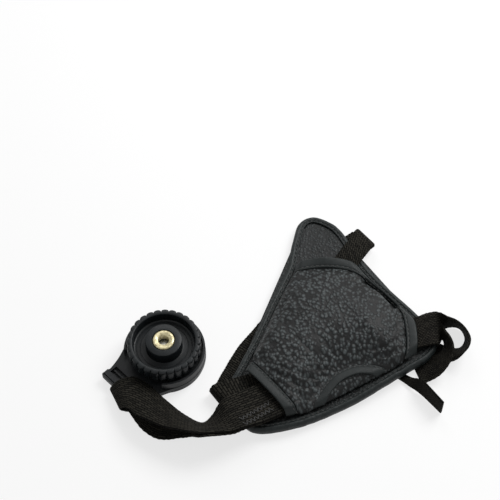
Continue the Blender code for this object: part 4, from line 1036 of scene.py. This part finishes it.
def build_stitches(pad, trim_paths, thread, long_strap):
    tree = stitch_tree(thread)
    outline = evenly(smooth_path(np.array(PAD_OUTLINE) * MM, 12, closed=True), 1.0 * MM)
    inner = outline - outward(outline) * BINDING_SEAM
    inner = np.concatenate([inner, inner[:1]])
    lift = pad.lift(inner)
    both = [[(x, y, z + rise) for (x, y), z in zip(inner, lift)] for rise in (SEAM_ABOVE, SEAM_BELOW)]
    sew("binding_stitches", both, tree, "strap")
    sew("trim_stitches", trim_paths, tree, "strap")
    tacks = (((-23.4, -54.6), (-9.6, -44.3)), ((-21.6, -57.4), (-8.4, -47.6)))
    rows = [zigzag(long_strap, start, end, TACK_WIDTH, TACK_PERIOD) for start, end in tacks]
    sew("bar_tack", rows, tree, "strap",
        {"Pitch": 0.0008, "Stitch length": 0.0012, "Thread radius": 0.00026})


def plate_outline(sides, steps):
    """The disc and the two arms that carry the strap bar along +X."""
    arm = [(0.49 * LOOP_REACH, LOOP_HALF_WIDTH + ARM_FLARE),
           (0.65 * LOOP_REACH, LOOP_HALF_WIDTH + 0.15 * ARM_FLARE),
           (LOOP_REACH - 1.3 * BAR_DEPTH, LOOP_HALF_WIDTH - ARM_WAIST),
           (LOOP_REACH - BAR_DEPTH, LOOP_HALF_WIDTH - ARM_WAIST / 2)]
    corner = [(LOOP_REACH - LOOP_CORNER, LOOP_HALF_WIDTH), (LOOP_REACH, LOOP_HALF_WIDTH - LOOP_CORNER)]
    arc = np.linspace(ARM_ANGLE, 2 * math.pi - ARM_ANGLE, sides)
    disc = [(PLATE_RADIUS * math.cos(a), PLATE_RADIUS * math.sin(a)) for a in arc]
    upper = [tuple(point) for point in smooth_path([disc[0]] + arm, steps)[1:]] + corner
    return disc + [(x, -y) for x, y in upper] + upper[::-1]


def prism(name, outline, bottom, top, finish):
    """A flat outline in the plate's frame, raised from one height to another."""
    rings = [[(x, y, z) for x, y in outline] for z in (bottom, top)]
    return skin(name, on_plate(rings), finish, sharp=30.0)


def carve(target, tool, operation):
    step = target.modifiers.new(operation.lower(), "BOOLEAN")
    step.operation = operation
    step.solver = "EXACT"
    step.object = tool


def baked(made, tools=()):
    """The object with its modifiers turned into plain mesh, and its tools removed."""
    bpy.context.view_layer.update()
    shape = made.evaluated_get(bpy.context.evaluated_depsgraph_get())
    mesh = bpy.data.meshes.new_from_object(shape)
    made.modifiers.clear()
    made.data = mesh
    for tool in tools:
        bpy.data.objects.remove(tool, do_unlink=True)
    return made


def block(name, near, far, span, bottom, top, finish):
    """A straight block in the plate's frame, between two reaches and across a span."""
    corners = [(near, span[0]), (far, span[0]), (far, span[1]), (near, span[1])]
    return prism(name, corners, bottom, top, finish)


def tube(inner, outer, bottom, top):
    """The profile of a plain tube."""
    return [(inner, bottom), (outer, bottom), (outer, top), (inner, top)]


def build_plate(abs_plate, rubber):
    bottom = RUBBER_THICKNESS + GAP
    top = bottom + PLATE_THICKNESS
    ledge_bottom = CLIP_TOP + GAP
    ledge_top = ledge_bottom + LEDGE_THICKNESS
    well = CLIP_RADIUS + GAP
    plate = prism("moulded_plate", plate_outline(100, 8), bottom, top, abs_plate)
    wall = spun("wall", tube(PLATE_RADIUS - WALL_THICKNESS, PLATE_RADIUS - GAP / 2, bottom + GAP,
                             top + WALL_HEIGHT), abs_plate)
    wide = 2 * PLATE_RADIUS * math.sin(WALL_OPENING / 2)
    far = 2 * PLATE_RADIUS * math.cos(WALL_OPENING / 2)
    wedge = prism("wedge", [(0.0, 0.0), (far, -wide), (far, wide)], 0.0, top + 2 * WALL_HEIGHT, abs_plate)
    carve(wall, wedge, "DIFFERENCE")
    hub = spun("hub", tube(well, well + HUB_WALL, bottom + GAP, ledge_top), abs_plate, sides=96)
    shoulder = spun("shoulder", tube(THREAD_RADIUS + GAP, well + GAP, ledge_bottom, ledge_top), abs_plate,
                    sides=96)
    near = LOOP_REACH - BAR_DEPTH - SLOT_DEPTH
    far = near + SLOT_DEPTH
    slot = block("slot", near, far, (-SLOT_HALF_WIDTH, SLOT_HALF_WIDTH), 0.0, top + WALL_HEIGHT, abs_plate)
    turn = np.linspace(0, 2 * math.pi, 96, endpoint=False)
    bore = prism("bore", [(well * math.cos(a), well * math.sin(a)) for a in turn], 0.0, ledge_bottom, abs_plate)
    extras = [block(name, start, end, span, low, high, abs_plate) for name, start, end, span, low, high in (
        ("bar_top", LOOP_REACH - BAR_DEPTH + 0.0003, LOOP_REACH - 0.0012, BARE_BAR, top - 0.001, top + 0.0010),
        ("bar_lip", LOOP_REACH - 0.0008, LOOP_REACH - 0.0001, BARE_BAR, top - 0.001, top + 0.0007),
        # A thin black plastic sheet across the free part of the slot, put there as painted shade so that the
        # white floor doesn't show through
        ("slot_shade_sheet", near - 0.0006, far + 0.0006, BARE_SLOT, bottom + 0.0001, bottom + 0.0009),
        ("slot_rib", near + 0.0014, near + 0.0023, BARE_SLOT, bottom + 0.0002, top - 0.0009))]
    steps = [(bore, "DIFFERENCE"), (slot, "DIFFERENCE"), (wall, "UNION"), (hub, "UNION"), (shoulder, "UNION")]
    for tool, operation in steps + [(extra, "UNION") for extra in extras]:
        carve(plate, tool, operation)
    edge = plate.modifiers.new("edge", "BEVEL")
    edge.width = 0.00025
    edge.segments = 2
    edge.limit_method = "ANGLE"
    edge.angle_limit = math.radians(40.0)
    baked(plate, [wall, wedge, hub, shoulder, slot, bore] + extras)
    plate.data.polygons.foreach_set("use_smooth", [True] * len(plate.data.polygons))
    plate.data.set_sharp_from_angle(angle=math.radians(38.0))
    dress(plate, "strap", ["base_plate"])

    ring_in = well + HUB_WALL
    ring_out = PLATE_RADIUS - RUBBER_INSET
    ribs = []
    for k in range(RUBBER_RIBS):
        r = ring_in + (ring_out - ring_in) * (k + 0.5) / RUBBER_RIBS
        ribs += [(r - 0.0004, 0.0), (r - 0.0002, 0.0003), (r + 0.0002, 0.0003), (r + 0.0004, 0.0)]
    profile = [(ring_in, 0.0002), (ring_in + 0.0002, 0.0), *ribs, (ring_out - 0.0003, 0.0), (ring_out, 0.0003),
               (ring_out, RUBBER_THICKNESS - 0.0002), (ring_out - 0.0002, RUBBER_THICKNESS),
               (ring_in, RUBBER_THICKNESS)]
    dress(spun("moulded_rubber_ring", profile, rubber), "strap", ["rubber_pad"])
    return ledge_top, top


def lobe_radius(angle):
    """How far the scalloped rim is cut back at an angle: round lobes with sharp notches between them."""
    across = 2.0 * ((angle * WHEEL_LOBES / (2 * math.pi)) % 1.0) - 1.0
    return LOBE_DEPTH * (1.0 - math.sqrt(max(0.0, 1.0 - across * across)))


def thread_cut(angle, height):
    """How deep a thread is cut at an angle and a height."""
    phase = (height / THREAD_PITCH + angle / (2 * math.pi)) % 1.0
    return THREAD_DEPTH * (0.5 - abs(phase - 0.5)) * 2


def thread_heights(start, length, way):
    """Heights along a thread, upward (1) or downward (-1) from its start."""
    count = int(length / THREAD_PITCH * TURN_STEPS)
    return [start + way * THREAD_PITCH * k / TURN_STEPS for k in range(count)]


def build_wheel(abs_wheel, brass, steel, ledge_top, plate_top):
    bottom = plate_top + SCREW_TRAVEL + GAP
    top = bottom + WHEEL_HEIGHT
    floor = top - RECESS_DEPTH
    ceiling = ledge_top + SCREW_TRAVEL + GAP
    boss_top = top + BOSS_RISE
    rim = WHEEL_RADIUS
    recess = rim - RIM_WIDTH
    bore = INSERT_RADIUS + GAP
    boss = BOSS_RADIUS
    rings = []
    for r in RECESS_RINGS:
        rings += [(r + 0.00025, floor), (r + 0.0001, floor - 0.00012), (r - 0.0001, floor - 0.00012),
                  (r - 0.00025, floor)]
    underside = [(SHAFT_HOLE, ceiling), (boss - 0.0018, ceiling), (boss - 0.0018, bottom + 0.0003),
                 (boss - 0.0015, bottom), (rim - 0.0010, bottom), (rim - 0.0004, bottom + 0.0002)]
    rim_round = [(rim, bottom + 0.0007), (rim, top - 0.0011), (rim - 0.0001, top - 0.0006),
                 (rim - 0.0004, top - 0.0002), (rim - 0.0009, top), (recess + 0.0009, top),
                 (recess + 0.0004, top - 0.0001), (recess + 0.0001, top - 0.0004)]
    recess_wall = [(recess, top - 0.0008), (recess, floor + 0.0010), (recess - 0.0001, floor + 0.0004),
                   (recess - 0.0004, floor + 0.0001), (recess - 0.0009, floor)]
    boss_wall = [(boss + 0.0004, floor), (boss + 0.0001, floor + 0.0001), (boss, floor + 0.0004),
                 (boss, boss_top - 0.0007), (boss - 0.0002, boss_top - 0.0002), (boss - 0.0006, boss_top)]
    bore_wall = [(bore + 0.0002, boss_top), (bore, boss_top - 0.0002), (bore, ceiling + BOSS_FLOOR),
                 (SHAFT_HOLE, ceiling + BOSS_FLOOR)]

    def radius_at(angle, radius, height):
        share = min(max((radius - recess) / 0.0020, 0.0), 1.0)
        return radius - lobe_radius(angle) * share if share > 0.4 else radius

    wheel = spun("scalloped_wheel", underside + rim_round + recess_wall + rings + boss_wall + bore_wall,
                 abs_wheel, sides=WHEEL_LOBES * LOBE_SIDES, radius_at=radius_at)
    dress(wheel, "screw", ["thumb_wheel"])

    insert_top = boss_top + 0.0002
    insert_bottom = insert_top - INSERT_LENGTH
    turns = thread_heights(insert_top - INSERT_CHAMFER - 0.0001, INSERT_LENGTH - 2 * INSERT_CHAMFER, -1)
    profile = [(THREAD_RADIUS + INSERT_CHAMFER, insert_bottom), (INSERT_RADIUS, insert_bottom),
               (INSERT_RADIUS, insert_top - 0.0004), (INSERT_RADIUS - 0.0004, insert_top),
               (THREAD_RADIUS + INSERT_CHAMFER + 0.0002, insert_top),
               (THREAD_RADIUS + 0.0001, insert_top - INSERT_CHAMFER),
               *((THREAD_RADIUS - 0.00001, z) for z in turns)]

    def groove(angle, radius, height):
        return radius if radius >= THREAD_RADIUS else radius - thread_cut(angle, height)

    insert = spun("brass_insert", profile, brass, sides=96, radius_at=groove, sharp=50.0)
    dress(insert, "screw", ["threaded_insert"])

    neck_bottom = CLIP_TOP - CLIP_THICKNESS - GAP
    neck_top = CLIP_TOP + GAP
    head = ceiling + BOSS_FLOOR + GAP
    head_top = head + HEAD_THICKNESS
    tip = SCREW_TIP_HEIGHT
    turns = thread_heights(tip + 0.0008, neck_bottom - tip - 0.0009, 1)
    profile = [(0.0, tip), (THREAD_RADIUS - 0.0009, tip), (THREAD_RADIUS - 0.0004, tip + 0.0004),
               *((THREAD_RADIUS, z) for z in turns),
               (THREAD_RADIUS - 0.0004, neck_bottom), (NECK_RADIUS, neck_bottom), (NECK_RADIUS, neck_top),
               (THREAD_RADIUS, neck_top), (THREAD_RADIUS, head), (HEAD_RADIUS - 0.0002, head),
               (HEAD_RADIUS, head + 0.0002), (HEAD_RADIUS, head_top - 0.0002),
               (HEAD_RADIUS - 0.0002, head_top), (0.0, head_top)]

    def helix(angle, radius, height):
        threaded = radius == THREAD_RADIUS and height <= neck_bottom
        return radius - thread_cut(angle, height) if threaded else radius

    stud = spun("tripod_screw", profile, steel, sides=96, radius_at=helix, sharp=50.0)
    dress(stud, "screw", ["tripod_stud"])


def background_rays(tree):
    """One where a ray shows the white background: to the camera, and in shiny and clear surfaces."""
    path = add(tree, "ShaderNodeLightPath").outputs
    direct = worked(tree, "MAXIMUM", path["Is Camera Ray"], path["Is Glossy Ray"])
    return worked(tree, "MAXIMUM", direct, path["Is Transmission Ray"])


def build_stage():
    def build(tree):
        return {"Base Color": srgb("#f2f2f2"), "Roughness": 0.9}

    floor_paint = surface("matt_floor_paint", build)
    tree = floor_paint.node_tree
    shader = next(node for node in tree.nodes if node.type == "BSDF_PRINCIPLED")
    output = next(node for node in tree.nodes if node.type == "OUTPUT_MATERIAL")
    share = worked(tree, "MULTIPLY", background_rays(tree), 0.72)
    white = add(tree, "ShaderNodeEmission", {"Color": (1.0, 1.0, 1.0, 1.0), "Strength": 1.0}).outputs[0]
    mixed = add(tree, "ShaderNodeMixShader", {0: share, 1: shader.outputs[0], 2: white}).outputs[0]
    tree.links.new(mixed, output.inputs["Surface"])
    mesh = bpy.data.meshes.new("table_top")
    mesh.from_pydata([(-3, -3, 0), (3, -3, 0), (3, 3, 0), (-3, 3, 0)], [], [(0, 1, 2, 3)])
    mesh.materials.append(floor_paint)
    table = bpy.data.objects.new("table_top", mesh)
    bpy.context.scene.collection.objects.link(table)


def build_light():
    world = bpy.data.worlds.new("white_room")
    bpy.context.scene.world = world
    world.use_nodes = True
    tree = world.node_tree
    tree.nodes.clear()
    dim = add(tree, "ShaderNodeBackground", {"Color": (1.0, 1.0, 1.0, 1.0), "Strength": 0.30}).outputs[0]
    white = add(tree, "ShaderNodeBackground", {"Color": (1.0, 1.0, 1.0, 1.0), "Strength": 1.0}).outputs[0]
    mixed = add(tree, "ShaderNodeMixShader", {0: background_rays(tree), 1: dim, 2: white}).outputs[0]
    add(tree, "ShaderNodeOutputWorld", {"Surface": mixed})
    for name, place, aim, size, power in (
            ("softbox_above", (0.40, 0.36, 0.62), (0.0, 0.0, 0.0), 0.40, 6.0),
            ("softbox_behind", (-0.10, 0.62, 0.6), (-0.02, 0.0, 0.0), 0.4, 1.6)):
        light = bpy.data.lights.new(name, "AREA")
        light.shape = "SQUARE"
        light.size = size
        light.energy = power
        lamp = bpy.data.objects.new(name, light)
        lamp.location = place
        lamp.rotation_euler = (Vector(aim) - Vector(place)).to_track_quat("-Z", "Y").to_euler()
        bpy.context.scene.collection.objects.link(lamp)


def build_camera():
    lens = bpy.data.cameras.new("camera")
    lens.sensor_width = SENSOR_WIDTH
    lens.lens = CAMERA_LENS
    lens.clip_start = 0.01
    camera = bpy.data.objects.new("camera", lens)
    camera.location = CAMERA_PLACE
    camera.rotation_euler = (CAMERA_TILT, 0.0, 0.0)
    bpy.context.scene.collection.objects.link(camera)
    bpy.context.scene.camera = camera


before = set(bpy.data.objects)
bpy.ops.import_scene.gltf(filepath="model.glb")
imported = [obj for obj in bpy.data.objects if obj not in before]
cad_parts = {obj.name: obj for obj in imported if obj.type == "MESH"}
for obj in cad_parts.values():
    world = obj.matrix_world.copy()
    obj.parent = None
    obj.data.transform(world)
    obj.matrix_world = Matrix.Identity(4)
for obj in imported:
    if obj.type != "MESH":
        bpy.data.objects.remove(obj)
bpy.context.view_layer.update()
wheel_low, wheel_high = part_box("thumb_wheel")
SHIFT = np.array([(wheel_low[0] + wheel_high[0]) / 2 - PLATE_AXIS[0],
                  (wheel_low[1] + wheel_high[1]) / 2 - PLATE_AXIS[1],
                  wheel_low[2] - (RUBBER_THICKNESS + GAP + PLATE_THICKNESS + SCREW_TRAVEL + GAP)])
bpy.context.scene.view_settings.view_transform = "Standard"
build_camera()
build_stage()
build_light()

# Each pebbled leather's darker colour is painted shade in its valleys, and its lighter colour a painted
# highlight on its mound tops
pebbled = pebbled_leather("pebbled_leather", 1.7, 0.42, "#080909", "#4a4f50", 0.42)
fine_pebbled = pebbled_leather("fine_pebbled_leather", 1.4, 0.2, "#0d0f0f", "#2b2f30", 0.42)
# The darker colour of these smooth leathers is painted shade in their wrinkle hollows
calendered = smooth_leather("calendered_leather", "#171b1b", "#202424", 0.46, 6.0, 0.08)
binding = smooth_leather("binding_leather", "#151919", "#202525", 0.40, 2.2, 0.5)
webs = {"long": woven_webbing("ribbed_webbing", 3.6, 1.25, math.radians(90.0)),
        "cross": woven_webbing("cross_ribbed_webbing", 3.6, 1.25),
        "slanting": woven_webbing("twill_webbing", 2.4, 1.0, math.radians(45.0)),
        "grainy": woven_webbing("plain_webbing", 1.5, 0.9, math.radians(90.0))}
abs_plate = moulded_plastic("moulded_abs", "#141618", "#1b1d1f", 0.36)
abs_wheel = moulded_plastic("moulded_abs_wheel", "#0e1113", "#15191b", 0.34)
rubber = moulded_rubber()
brass = turned_metal("turned_brass", "#b9b191", "#8a8166", 0.42)
steel = turned_metal("turned_steel", "#b5b3aa", "#8e8c84", 0.3)
thread = bonded_thread()

palm = Pad()
build_panel(palm, pebbled)
build_layers(palm, fine_pebbled, knitted_lining(), open_foam())
build_binding(palm, binding)
trim_paths = [build_trim("upper_trim_leather", "upper_trim", palm.upper_seam, palm, calendered),
              build_trim("arch_trim_leather", "arch_trim", palm.arch_seam, palm, calendered),
              build_trim("lower_trim_leather", "lower_trim", palm.low_seam, palm, calendered)]
long_strap = build_straps(palm, webs)
build_stitches(palm, trim_paths, thread, long_strap)
ledge_top, plate_top = build_plate(abs_plate, rubber)
build_wheel(abs_wheel, brass, steel, ledge_top, plate_top)
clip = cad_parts["retaining_clip"]
clip.data.materials.clear()
clip.data.materials.append(steel)
